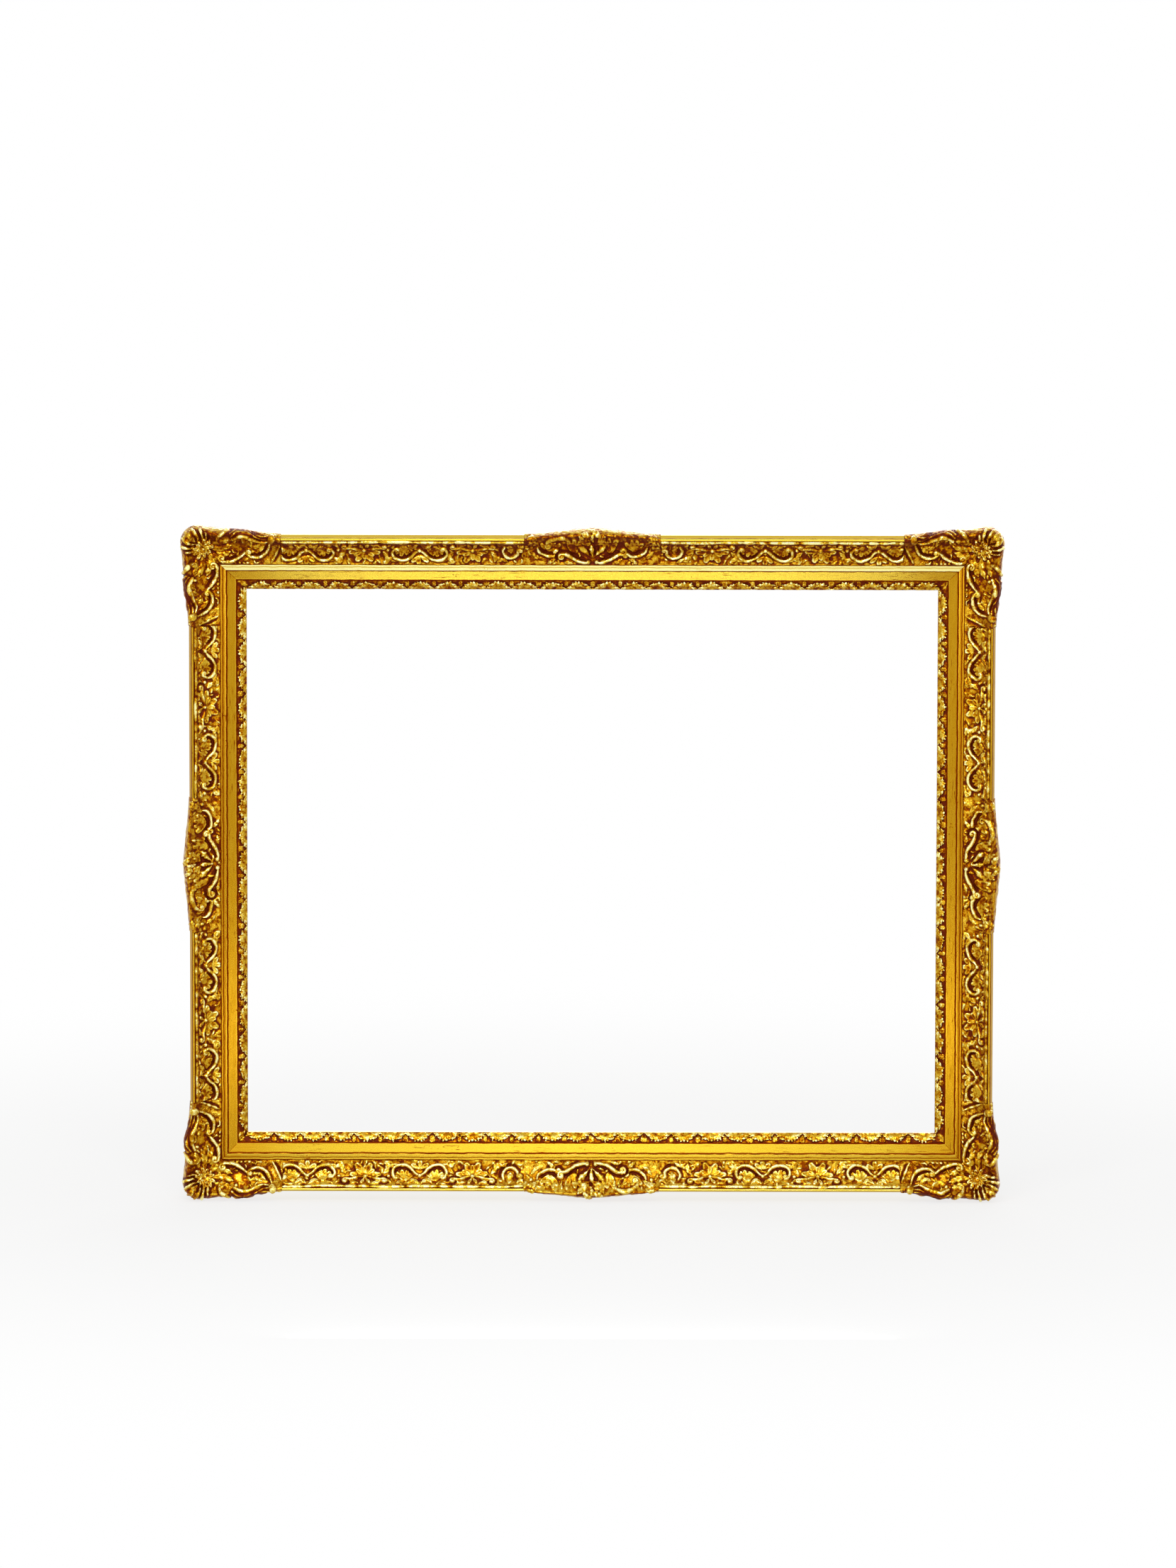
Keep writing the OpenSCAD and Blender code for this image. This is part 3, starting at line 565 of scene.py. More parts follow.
def corner_swell(share, overhang):
    """How far a corner casting stands out, by its station along an arm"""
    most = CORNER_SWELL - LOBE
    start = CORNER_ROUND - CORNER_SWELL
    p = np.linspace(start - CORNER_ROUND * sqrt(0.5), CORNER_L, 600)
    round_part = np.sqrt(np.maximum(CORNER_ROUND**2 - (start - p) ** 2, 0)) - start - LOBE
    fine, shares = softened(CORNER_SWELL_SHARES, 0.03)
    arm = np.interp((p - start) / (CORNER_L - start), fine, shares) * most
    arm = arm + overhang * np.exp(-(((p - LEAVES_AT) / LEAVES_SPREAD) ** 2))
    out = np.where(p < start, round_part, arm)
    return np.interp(share, (p + out) / (CORNER_L + out), out)


def hollow(v):
    return (1 - np.sqrt(1 - (HOLLOW_SHARE * v) ** 2)) / (1 - sqrt(1 - HOLLOW_SHARE**2))


def end_section(v):
    """The moulding's own section under a casting's end: its strip, its bead and its rim"""
    strip_y, strip_z = cove_at(np.linspace(STRIP_TURN, 0, 12), STRIP_R)
    inner_y, inner_z = [BEAD_IN, RIM_W, *strip_y], [CREST_Z, CREST_Z - 0.4, *strip_z]
    y_in = COVE_IN - GLUE + (BEAD_IN - COVE_IN + GLUE) * np.minimum(v, 1)
    w = held(v - 1)
    stops = (0, 0.25, 0.6, 1)
    y_out = np.interp(w, stops, (BEAD_IN, RIM_W / 2 - 0.3, RIM_W / 2, 0))
    z_out = np.interp(w, stops, (CREST_Z, CREST_Z - BEAD_R, (CREST_Z + SHOULDER_Z) / 2, SHOULDER_Z))
    inside = v <= 1
    return np.where(inside, y_in, y_out), np.where(inside, np.interp(y_in, inner_y, inner_z), z_out)


def casting_section(out, share, v):
    """A face's distance inward and height. v is 0 at its inner edge, 1 at its crest, 2 outside"""
    full = 1 - share**2
    inner_y = COVE_IN - GLUE
    crest_y = (RIM_W - out) / 2
    top = CREST_Z - 0.5 + (CREST_LIFT + 0.5) * full
    edge = SHOULDER_Z - EDGE_DROP * full
    inner = COVE_LOW_Z + STRIP_T + GLUE + (CASTING_T - STRIP_T) * full
    inside = v <= 1
    u, w = np.minimum(v, 1), held(v - 1) * pi / 2
    y = np.where(inside, inner_y + (crest_y - inner_y) * u, crest_y - (crest_y + out) * np.sin(w))
    z = np.where(inside, inner + (top - inner) * hollow(u), edge + (top - edge) * np.cos(w))
    end_y, end_z = end_section(v)
    merged = held((share - MERGE_FROM) / (1 - MERGE_FROM))
    merged = merged**2 * (3 - 2 * merged)
    return y + (end_y - y) * merged, z + (end_z - z) * merged


def casting_back(out, share):
    """The places behind a casting: its rolled edge, its tail on the outer face, its seat and its bed"""
    edge = SHOULDER_Z - EDGE_DROP * (1 - share**2) - EDGE_T
    tail = TAIL_Z + (edge - TAIL_Z) * share**2
    seat_turn = acos((COVE_MID_Z - SEAT_Z - GLUE) / BED_R)
    rows = [(-out, edge), (-GLUE, tail), (-GLUE, SEAT_Z + GLUE)]
    rows += [cove_at(turn, BED_R) for turn in np.linspace(seat_turn, GLUE / BED_R, 4)]
    return np.stack([np.stack([y + 0 * out, z + 0 * out], axis=-1) for y, z in rows], axis=1)


def even_rows():
    """Stations across a casting, about as far apart as the relief's pitch"""
    v = np.linspace(0, 2, 801)
    y, z = casting_section(np.full_like(v, 7.0), np.zeros_like(v), v)
    run = np.concatenate([[0], np.cumsum(np.hypot(np.diff(y), np.diff(z)))])
    return np.interp(np.linspace(0, run[-1], int(run[-1] / PITCH)), run, v)


def corner_plan(a, y):
    length = y + np.abs(a) * (CORNER_L - y)
    return np.where(a < 0, y, length), np.where(a < 0, length, y)


def centre_plan(a, y):
    return a * CENTRE_L, y


def casting(name, side, plan, swell, length, draw, origin, painted_shade, seed):
    """A casting's skin: its ground in the cove and over the crest, raised by its ornament"""
    stations = np.linspace(-1, 1, int(2 * length / PITCH))
    a, v = np.meshgrid(stations, even_rows(), indexing="ij")
    share = np.abs(a)
    out = swell(share)
    y, z = casting_section(out, share, v)
    z = blurred(z, 2)
    x, y = plan(a, y)
    relief = Relief(x, y, CASTING_DRAWS + seed)
    draw(relief)
    ends = held((1 - share) * length / 1.2)
    edges = held(np.minimum(v / 0.03, (2 - v) / 0.12))
    height = worked(relief.height, CASTING_HAND, 0.5, seed, ends * edges)
    ground = np.stack([x, y, z], axis=-1)
    face = ground + normals_of(ground) * height[..., None]
    face[..., 2] = np.minimum(face[..., 2], FRONT_LIMIT)
    back = casting_back(out[:, 0], share[:, 0])
    bx, by = plan(a[:, :1] + 0 * back[..., 0], back[..., 0])
    back = np.stack([bx, by, back[..., 1]], axis=-1)
    # The casting's painted shade, blending into the cove's towards its ends, and paler where hands have
    # rubbed its rims
    shade_and_rubbing = painted_shade + (cove_shade(side, np.minimum(v, 1)) - painted_shade) * share**3
    shade_and_rubbing = shade_and_rubbing - RUBBED * held(2 * v - 2.4)
    rings, values = with_back(side, face, back, height, relief.dirt_and_shade, shade_and_rubbing)
    rings[..., 1] = np.maximum(rings[..., 1], -SWELL_LIMIT)
    if plan is corner_plan:
        rings[..., 0] = np.maximum(rings[..., 0], -SWELL_LIMIT)
    rings[..., 0] += origin
    return skin(name, hang(side, rings), values)


# A corner's ornament on one arm: distance along the arm from the outer corner, then inward

S_SCROLL = ((61.5, 19), (55.5, 24.6), (47.5, 29), (40, 30.4), (34.5, 29.8))
ARM_C = ((88.4, 9.5), (86, 16), (81.6, 21.6), (75, 24.8), (68, 24.6), (63.6, 21.6))
LEAF_RIBS = (
    (((87, 6.6), (79, 7.6), (71.5, 4.6), (64, 1.6), (55, 0.6), (47, 3.6)), 2, 3.4),
    (((87, 4.2), (78, 4.2), (70, 1), (61, -1.8), (53, -2.4), (45.6, 0.6)), 1.7, 3),
    (((86, 1.6), (76, 0.8), (67, -2.6), (58, -4.8), (50, -4.6), (44.6, -2)), 1.7, 2.7),
    (((83, -0.8), (74, -2.6), (65, -5.6), (56, -7.4), (47, -6)), 2, 2.3),
)
TIP_CURL = ((43, -6), (37.6, -3), (32.6, 0.6), (31.4, 5.4))
END_LEAF = ((89.5, 31), (94, 22), (98.6, 11.5))
HOOK = ((70, 28.6), (72.6, 31.4), (77, 31))
ARM_LEAVES = (
    ((22, 23), (32, 24), (46, 18.5), 4.6, 2.5),
    ((24, 15), (35, 15), (47, 11), 4.2, 2.4),
    ((27, 8.6), (36, 7.6), (44, 5), 3.2, 2.2),
    ((68.5, 18.5), (74.5, 20.5), (82, 12), 4.4, 2.3),
    ((67, 12.6), (72, 13.6), (78, 11), 2.8, 2),
    ((93, 1), (96.5, -0.6), (99.4, 2.4), 2.6, 1.8),
    ((26, 27.6), (22, 31), (16.6, 32), 3, 2.2),
)
ARM_BEADS = (
    (89.4, 4.6, 4.4, 3.4), (49.6, 6.4, 2.2, 2.8), (36, 24.6, 2.4, 2.6), (64.8, 19, 2.8, 3.5),
)
ROSETTE = (15, 15)
CORNER_RIBS = ((-118, 15), (-92, 17.6), (-66, 18), (-24, 18), (2, 17.6), (28, 15))
CORNER_LEAVES = (((14, 4), (8, -2), (1, -4.6), 3.6, 2.4), ((6, 6), (1, 1), (-3, -3), 4.6, 2.6))
FILLET_TIPS = (46, 50.5, 55, 59.5, 64)


NET_BOX = ((72, 9), (101, 33.4))
FILL_BOX = ((22, 4), (72, 33))


def corner_ornament(relief):
    arms = partial(relief.both, flip=swapped)
    for box in (NET_BOX, swapped(NET_BOX)):
        relief.net(*box, 3.8, 1.1)
    draw_each(partial(arms, "leaf"), ARM_LEAVES)
    for rib, width, height in reversed(LEAF_RIBS):
        arms("stroke", rib, width, height, TAPER_IN, ditch=1)
    arms("stroke", S_SCROLL, 3, 4, eye=3.6, way=1, ditch=1)
    arms("stroke", ARM_C, 2.8, 3.7, eye=2.6, way=1, ditch=1)
    arms("stroke", TIP_CURL, 2.4, 2.6, eye=2.2, way=-1)
    arms("stroke", END_LEAF, 2, 2.2, ditch=1)
    arms("stroke", HOOK, 1.6, 2.4)
    for p, q, radius, height in ARM_BEADS + tuple((p, 31.6, 1.9, 1.9) for p in FILLET_TIPS):
        for at in ((p, q), (q, p)):
            relief.bead(at, radius, height)
    corner_shell(relief)
    for box in (FILL_BOX, swapped(FILL_BOX)):
        relief.fill_in(*box, 190, ((55, 13, 8), (13, 55, 8)))


def corner_shell(relief):
    """Leaf ribs from an oval rosette towards the outermost edge, and a leaf inward"""
    relief.leaf(((19, 19), (25, 25), (32, 32)), 5, 2.6, 3)
    draw_each(partial(relief.both, "leaf", flip=swapped), CORNER_LEAVES, 2)
    for turn, length in CORNER_RIBS:
        out = heading(turn)
        bend = 2.6 * np.array([-out[1], out[0]]) * np.sign(turn + 45)
        root = np.array([11.5, 11.5])
        relief.stroke((root + 5 * out, root + 0.6 * length * out + bend, root + length * out), 2.3, 3,
                      TAPER_IN, ditch=np.sign(turn + 45))
    relief.bead(ROSETTE, 8.2, 3, long=1.45, turn=135)
    for ring, (count, share, width, height) in enumerate(((11, 1, 2.5, 4.2), (8, 0.62, 2.1, 4.9))):
        for turn in np.arange(count) * 360 / count + 17 * ring:
            long = 8 + 4 * cos(radians(turn - 45)) ** 2
            relief.petal(ROSETTE, turn, long * share, width, height)
    relief.bead(ROSETTE, 1.9, 5.4)


# A centre's ornament, to the right of its middle

CENTRE_S = ((3.6, 30.4), (9, 30.2), (16.4, 28.2), (22.6, 24.6), (28.4, 21), (33.4, 20.4))
CENTRE_C = ((59.2, 13.6), (58, 17.4), (54, 20.8), (48, 23), (41.6, 23), (37.8, 20.6))
EDGE_C = ((25, 5.4), (29.6, 2.8), (36.9, 2), (44, 3.8), (49.4, 7.2), (50.6, 11))
DRAPES = (
    ((1, 24), (6, 19.6), (13, 13), 4, 3.2), ((0, 24.4), (-0.4, 18.6), (-1, 12.4), 3.4, 3.4),
)
CENTRE_LEAVES = (
    ((1.5, 10.4), (8, 7), (14.5, -0.6), 4.4, 2.4), ((38.4, 25), (43, 27.6), (48.6, 32), 2.8, 2.6),
    ((57.5, 12), (63, 8), (70, 9.4), 3.4, 2.2), ((60, 4.4), (65, 2.4), (71, 4), 2.8, 1.8),
    ((53, 27), (60, 24.4), (66, 18), 2.6, 1.8),
    ((21.6, 31.6), (26, 30.4), (31, 29.6), 2.4, 1.9),
)
FLOURISH = (
    ((-9, 1), (-5, -2.6), (1.5, -4.6), 2.8, 2.8), ((-1, 5.4), (0.6, 1.4), (-1.6, -2.6), 2.4, 3.2),
    ((0, -0.6), (6, -0.4), (12.6, -2.8), 2.8, 2.8), ((3, 5), (8, 4.6), (12, 1.6), 2.6, 2.4),
)


def centre_ornament(relief):
    for low in (-73, 47):
        relief.net((low, 19), (low + 26, 33.4), 3.8, 1.1)
    draw_each(partial(relief.both, "leaf"), CENTRE_LEAVES)
    for way in (-1, 1):
        relief.fan((way * 20, 23), (-way * 26, -way * 4, way * 18), 18, 3.6, 2)
        relief.fan((way * 45, 19), (-way * 40, -way * 12, way * 16, way * 44), 13, 3.2, 1.8)
    relief.stroke(EDGE_C, 2.4, 3.2, eye=2.5, ditch=1)
    relief.both("stroke", CENTRE_C, 2.6, 3.5, eye=2.5, ditch=1)
    for way in (1, -1):
        relief.pit((way * 16, 24), 3, 0.6, long=3.4, turn=-28 * way)
    relief.both("stroke", CENTRE_S, 2.9, 4, eye=3, ditch=-1)
    for way in (-1, 1):
        relief.bead((way * 66, 13), 2.2, 2.4)
        relief.bead((way * 27, 4.6), 2.2, 2.8)
    palmette(relief)
    relief.fill_in((-72, 5), (72, 33), 280, ((43, 14, 6), (-43, 14, 6), (20, 12, 4), (-20, 12, 4)))


def palmette(relief):
    """The plume in the middle: draped leaves that part over a notch, and a flourish along the crest"""
    relief.pit((0, 16), 6, 0.5, long=1.6)
    draw_each(partial(relief.both, "stroke"), DRAPES, FLARE, ditch=1)
    relief.pit((-1, 8.6), 1.8, 0.9, long=1.5)
    draw_each(relief.leaf, FLOURISH)
    for way in (-1, 1):
        relief.bead((way * 4.6, 29.6), 2.9, 3.9)


# Leaf strips on the sight edge

SIGHT_TURNS = (-57, -42, -28, -14, 0, 14, 28, 42, 57)
# How far apart the spread leaves stand, and how far they stray
SIGHT_UNIT = 29
SIGHT_STRAY = 1.6
# How much deeper than they are the leaf edge's hollows look, through the painted shade in them and the
# painted highlight on the ridges
SIGHT_DEPTH = 1.9
# How much darker each side's leaf edge is painted, as shade: darkest on the bottom, lightest on the top
SIGHT_SHADE = (0.1, 0.07, 0.02, 0.06)
# Length over which a strip's mesh is sheared to its mitre
SHEAR_L = 6


def sight_unit(relief, x, unit):
    """A spread leaf that hangs from the sight edge, with half of a small leaf at each side"""
    for way in (-1, 1):
        relief.leaf(shifted(((unit / 2, 11.4), (unit / 2, 8), (unit / 2, 3.4)), x, way), 2.4, 0.9, 2)
    root = np.array([x, -4])
    for turn in SIGHT_TURNS:
        way = heading(turn) * (1, -1)
        tip = root + relief.rng.uniform(13.4, 16.4) * way
        relief.leaf((root + 2 * way, root + 8 * way, tip), 2.8, 1.8, 2)
    for way in (-1, 1):
        relief.leaf(shifted(((3, 1.6), (8, 2.6), (14.4, 1)), x, way), 2.4, 2.1, 2)
        relief.leaf(shifted(((1.4, 5), (5, 6.6), (10.4, 5)), x, way), 2.1, 2.1, 2)
    relief.bead((x, 8.6), 2, 2)


def sight_relief(side, name, seed):
    """The carved strip of one side's sight edge, mitred at both ends"""
    inner = half_along(side) - FACE_IN
    slope = atan2(LEAF_RISE, FACE_IN - FRIEZE_IN)
    width = (FACE_IN - FRIEZE_IN) / cos(slope) - GLUE
    count = round(2 * inner / SIGHT_UNIT)
    unit = 2 * inner / count
    last = inner - SHEAR_L
    run, b = np.meshgrid(np.linspace(-inner, inner, int(2 * inner / PITCH)),
                         np.linspace(0, width, int(width / 0.5)), indexing="ij")
    reach = inner + b * cos(slope)
    beyond = np.maximum(np.abs(run) - last, 0) / SHEAR_L
    x = np.sign(run) * (np.minimum(np.abs(run), last) + beyond * (reach - last))
    relief = Relief(run, b, SIGHT_DRAWS + seed)
    for number in range(count):
        sight_unit(relief, (number + 0.5) * unit - inner + relief.rng.uniform(-1, 1) * SIGHT_STRAY, unit)
    swell = 0.55 * np.sin(pi * b / width)
    lip = 0.9 * np.exp(-(((b - 0.5) / 0.6) ** 2))
    height = worked(np.maximum(relief.height, lip), SIGHT_HAND, 0.4, seed)
    bed = np.stack([x, FACE_IN - b * cos(slope), SIGHT_Z + GLUE + b * sin(slope)], axis=-1)
    face = bed.copy()
    face[..., 2] += (0.8 + swell + height) / cos(slope)
    # The bare ground between the leaves is painted dark, as painted shade in the gaps
    gap = 0.3 * held((0.75 - relief.height) / 0.6) * (b > 2)
    rings, values = with_back(side, face, bed[:, [-1, 0]], height * SIGHT_DEPTH, gap, SIGHT_SHADE[side])
    return skin(name, hang(side, rings), values)


# The row of long lumps on the cove's upper edge, inside the plain bead

# Painted light on each side's lumps: lighter on the bottom and top, darker on the uprights
LUMP_LIGHT = (1.12, 0.75, 1.05, 0.75)
AROUND_LUMP = 18
# How deep the lumps' middle line lies in the cove's edge
LUMP_SUNK = 0.5


def crest_lumps(side, way, name, seed):
    low, high = cove_span(side)
    rng = np.random.default_rng(seed)
    marks = [low]
    while marks[-1] < high:
        marks.append(marks[-1] + rng.choice([rng.uniform(9, 15), rng.uniform(22, 42)]))
    marks[-1] = high
    x = np.arange(low, high, PITCH)
    lump = np.interp(x, marks, range(len(marks)))
    which, count = lump.astype(int), len(marks) + 1
    each = rng.uniform(0.72, 1.1, count)[which]
    fat = np.abs(np.sin(pi * lump)) ** 0.4 * each
    lean = blurred(rng.uniform(-0.9, 0.9, count)[which][:, None], 6)[:, 0]
    angle = LUMP_TURN + (lean / STRIP_R)[:, None]
    turn = np.linspace(0, 2 * pi, AROUND_LUMP, endpoint=False)
    wide, tall = np.outer(0.9 + 1.5 * fat, np.cos(turn)), np.outer(0.7 + 1.15 * fat, np.sin(turn))
    y, z = cove_at(angle, COVE_R - LUMP_SUNK - tall)
    y, z = y - wide * np.cos(angle), z + wide * np.sin(angle)
    rings = np.stack([np.repeat(x[:, None], AROUND_LUMP, axis=1) * way, y, z], axis=-1)
    # Fatter lumps are painted paler, as a painted highlight on their crowns
    painted_highlight = held(LUMP_LIGHT[side] * (0.48 + 0.5 * fat))
    values = np.repeat(painted_highlight[:, None], AROUND_LUMP, axis=1) + 0.1 * hand_noise(y.shape, 3, seed)
    return skin(name, hang(side, rings), held(values), 180)


# Materials

class Nodes:
    """The node tree of a new material or world, built a node at a time"""

    def __init__(self, name, kind="Material"):
        owners = bpy.data.materials if kind == "Material" else bpy.data.worlds
        self.owner = owners.new(name)
        self.owner.use_nodes = True
        self.tree = self.owner.node_tree
        self.tree.nodes.clear()
        self.output = self.add("Output" + kind)

    def add(self, kind, inputs=None, **settings):
        made = self.tree.nodes.new("ShaderNode" + kind)
        for key, value in settings.items():
            setattr(made, key, value)
        for key, value in (inputs or {}).items():
            if isinstance(value, bpy.types.NodeSocket):
                self.tree.links.new(value, made.inputs[key])
            else:
                made.inputs[key].default_value = value
        return made

    def math(self, operation, *values, clamp=False):
        """A math node, or a chain of them over more than two values"""
        while len(values) > 2:
            values = (self.math(operation, *values[:2]), *values[2:])
        made = self.add("Math", dict(enumerate(values)), operation=operation, use_clamp=clamp)
        return made.outputs[0]

    def noise(self, vector, scale, detail=3, roughness=0.5):
        inputs = {"Vector": vector, "Scale": scale, "Detail": detail, "Roughness": roughness}
        return self.add("TexNoise", inputs).outputs["Fac"]

    def uneven(self, noise, amount):
        """A noise moved to lie about zero, and made so much high in all"""
        return self.math("MULTIPLY", self.math("SUBTRACT", noise, 0.5), amount)

    def ramp(self, value, stops):
        made = self.add("ValToRGB", {"Fac": value})
        elements = made.color_ramp.elements
        for at, _ in stops[2:]:
            elements.new(at)
        for element, (at, colour) in zip(elements, sorted(stops)):
            element.position = at
            element.color = (*colour, 1)
        return made.outputs["Color"]

    def level(self, value, low, high, to_low=0.0, to_high=1.0):
        """A value carried from one range to another, and held at its ends"""
        inputs = {"Value": value, "From Min": low, "From Max": high, "To Min": to_low, "To Max": to_high}
        return self.add("MapRange", inputs, interpolation_type="SMOOTHSTEP").outputs["Result"]

    def mix(self, share, first, second):
        """One colour, with a share of a second over it"""
        return self.add("Mix", {0: share, 6: first, 7: second}, data_type="RGBA").outputs[2]

    def blend(self, share, first, second):
        """One shader, with a share of a second over it"""
        return self.add("MixShader", {0: share, 1: first, 2: second}).outputs[0]

    def bump(self, height, strength, distance, normal=None):
        inputs = {"Height": height, "Strength": strength, "Distance": distance}
        if normal is not None:
            inputs["Normal"] = normal
        return self.add("Bump", inputs).outputs["Normal"]

    def principled(self, inputs):
        return self.add("BsdfPrincipled", inputs).outputs[0]

    def surface(self, shader):
        """Finishes the tree, and gives the material or world"""
        self.tree.links.new(shader, self.output.inputs["Surface"])
        return self.owner

    def place(self):
        return self.add("TexCoord").outputs["Object"]

    def drawn(self, place, axis, across, along):
        """Places scaled so that a noise over them runs in streaks along one axis"""
        scale = [across] * 3
        scale[axis] = along
        return self.add("Mapping", {"Vector": place, "Scale": scale}).outputs["Vector"]

    def seen(self):
        """One to the camera and in mirrors and glass, and none to other light"""
        rays = self.add("LightPath").outputs
        kinds = ("Is Camera Ray", "Is Glossy Ray", "Is Transmission Ray")
        return self.math("MAXIMUM", *[rays[kind] for kind in kinds])


# Linear colours, from bole in painted shade deep in a recess to burnished gold with a painted highlight
# on a ridge
BOLE_AND_SHADE = (0.12, 0.011, 0.0002)
RUSSET = (0.235, 0.044, 0.0004)
GOLD = (0.45, 0.186, 0.002)
# Tints of the plain bands: plain on the uprights, and copies painted lighter, as lit, on the bottom and
# top
PLAIN_GOLD = (0.43, 0.21, 0.005)
BOTTOM_LIT_GOLD = (0.52, 0.34, 0.02)
TOP_LIT_GOLD = (0.62, 0.43, 0.045)
BRIGHT = (0.66, 0.43, 0.03)
BURNISH_AND_HIGHLIGHT = (0.97, 0.89, 0.36)
GILT_STOPS = ((0.14, BOLE_AND_SHADE), (0.33, RUSSET), (0.5, GOLD), (0.77, BRIGHT), (1.0, BURNISH_AND_HIGHLIGHT))


def gilt_relief():
    """Gold leaf over red bole on the carved parts: burnished with a painted highlight on ridges, bole
    with painted shade in recesses, and worn in random patches
    """
    n = Nodes("gilt_relief")
    place = n.place()
    cavity = n.add("Attribute", attribute_name="cavity").outputs["Fac"]
    mottle = n.uneven(n.noise(place, 300, 4, 0.6), 0.3)
    patchy = n.uneven(n.noise(place, 150, 2), 0.36)
    speckle = n.uneven(n.noise(place, 650, 2), 0.12)
    dulled = n.level(n.noise(place, 170, 3, 0.6), 0.46, 0.58, 0.1, -0.2)
    tone_and_shading = n.math("ADD", cavity, patchy, speckle, mottle, dulled, clamp=True)
    fine = n.noise(place, 1200, 2)
    chased = n.bump(n.noise(place, 400, 2), 0.5, 0.001)
    return n.surface(n.principled({
        "Base Color": n.ramp(tone_and_shading, GILT_STOPS),
        "Metallic": n.level(tone_and_shading, 0.1, 0.35, 0.6, 1.0),
        "Roughness": n.level(n.math("ADD", tone_and_shading, n.math("MULTIPLY", fine, 0.2)), 0.2, 0.95, 0.55, 0.25),
        "Specular IOR Level": 0.15,
        "Normal": n.bump(fine, 0.2, 0.0003, chased),
    }))


def flat_width(n, place):
    """Distance inward from the outer face on every side, distance from the nearest mitre, and depth"""
    axes = n.add("SeparateXYZ", {"Vector": place}).outputs
    from_side = n.math("SUBTRACT", HALF_W * MM, n.math("ABSOLUTE", axes["X"]))
    from_end = n.math("SUBTRACT", HALF_H * MM, n.math("ABSOLUTE", axes["Z"]))
    mitre = n.math("ABSOLUTE", n.math("SUBTRACT", from_side, from_end))
    return n.math("MINIMUM", from_side, from_end), mitre, axes["Y"]


def line_at(n, value, middle, half, soft):
    """One on a line across the moulding, and none away from it"""
    off = n.math("ABSOLUTE", n.math("SUBTRACT", value, middle * MM))
    return n.level(off, half * MM, (half + soft) * MM, 1.0, 0.0)


def wood_shader(n, place, grain_axis):
    """Bare lime wood with its grain along the rail"""
    grain = n.noise(n.drawn(place, grain_axis, 260, 9), 1, 5, 0.6)
    broad = n.noise(place, 6, 2)
    tone = n.math("ADD", n.math("MULTIPLY", grain, 0.75), n.math("MULTIPLY", broad, 0.4), clamp=True)
    stops = ((0.3, (0.17, 0.09, 0.038)), (0.55, (0.36, 0.22, 0.105)), (0.8, (0.5, 0.34, 0.18)))
    bumps = n.bump(grain, 0.35, 0.0004)
    return n.principled({"Base Color": n.ramp(tone, stops), "Roughness": 0.75, "Normal": bumps})


# Dark lines along the moulding, of dirt in its joints and painted shade in its grooves and steps:
# distance inward, half width, softness and strength
JOINT_LINES = (
    (40.5, 0.3, 0.9, 1.0), (51.4, 0.35, 1.0, 1.0), (33.6, 0.2, 0.7, 1.0), (36.4, 0.15, 0.5, 0.7),
    (2.8, 0.1, 0.5, 0.8), (5.9, 0.3, 0.6, 1.0),
)
# Painted highlights along edges, in the same order
HIGHLIGHT_LINES = ((50.3, 0.15, 0.7, 0.8), (39.5, 0.3, 0.9, 1.0), (34.6, 0.1, 0.4, 0.5))
# How far the lines waver
WAVER = 1.6
# Gold on flat bands, and how much the dirt and painted shade in the joints darken it, in parts of the
# gilding's scale
BAND_TONE = 0.52
JOINT_DIRT_SHADE = 0.42
# How far from the mitres each side's tint, painted lighter on the bottom and top as lit, still gives way
# to plain gold, and how much of it is plain at the mitre
MITRE_FADE = 85
MITRE_SHARE = 0.85
# Depths between which the gilding on the outer face gives way to bare wood
GILT_TO, WOOD_FROM = 16.6, 17.4


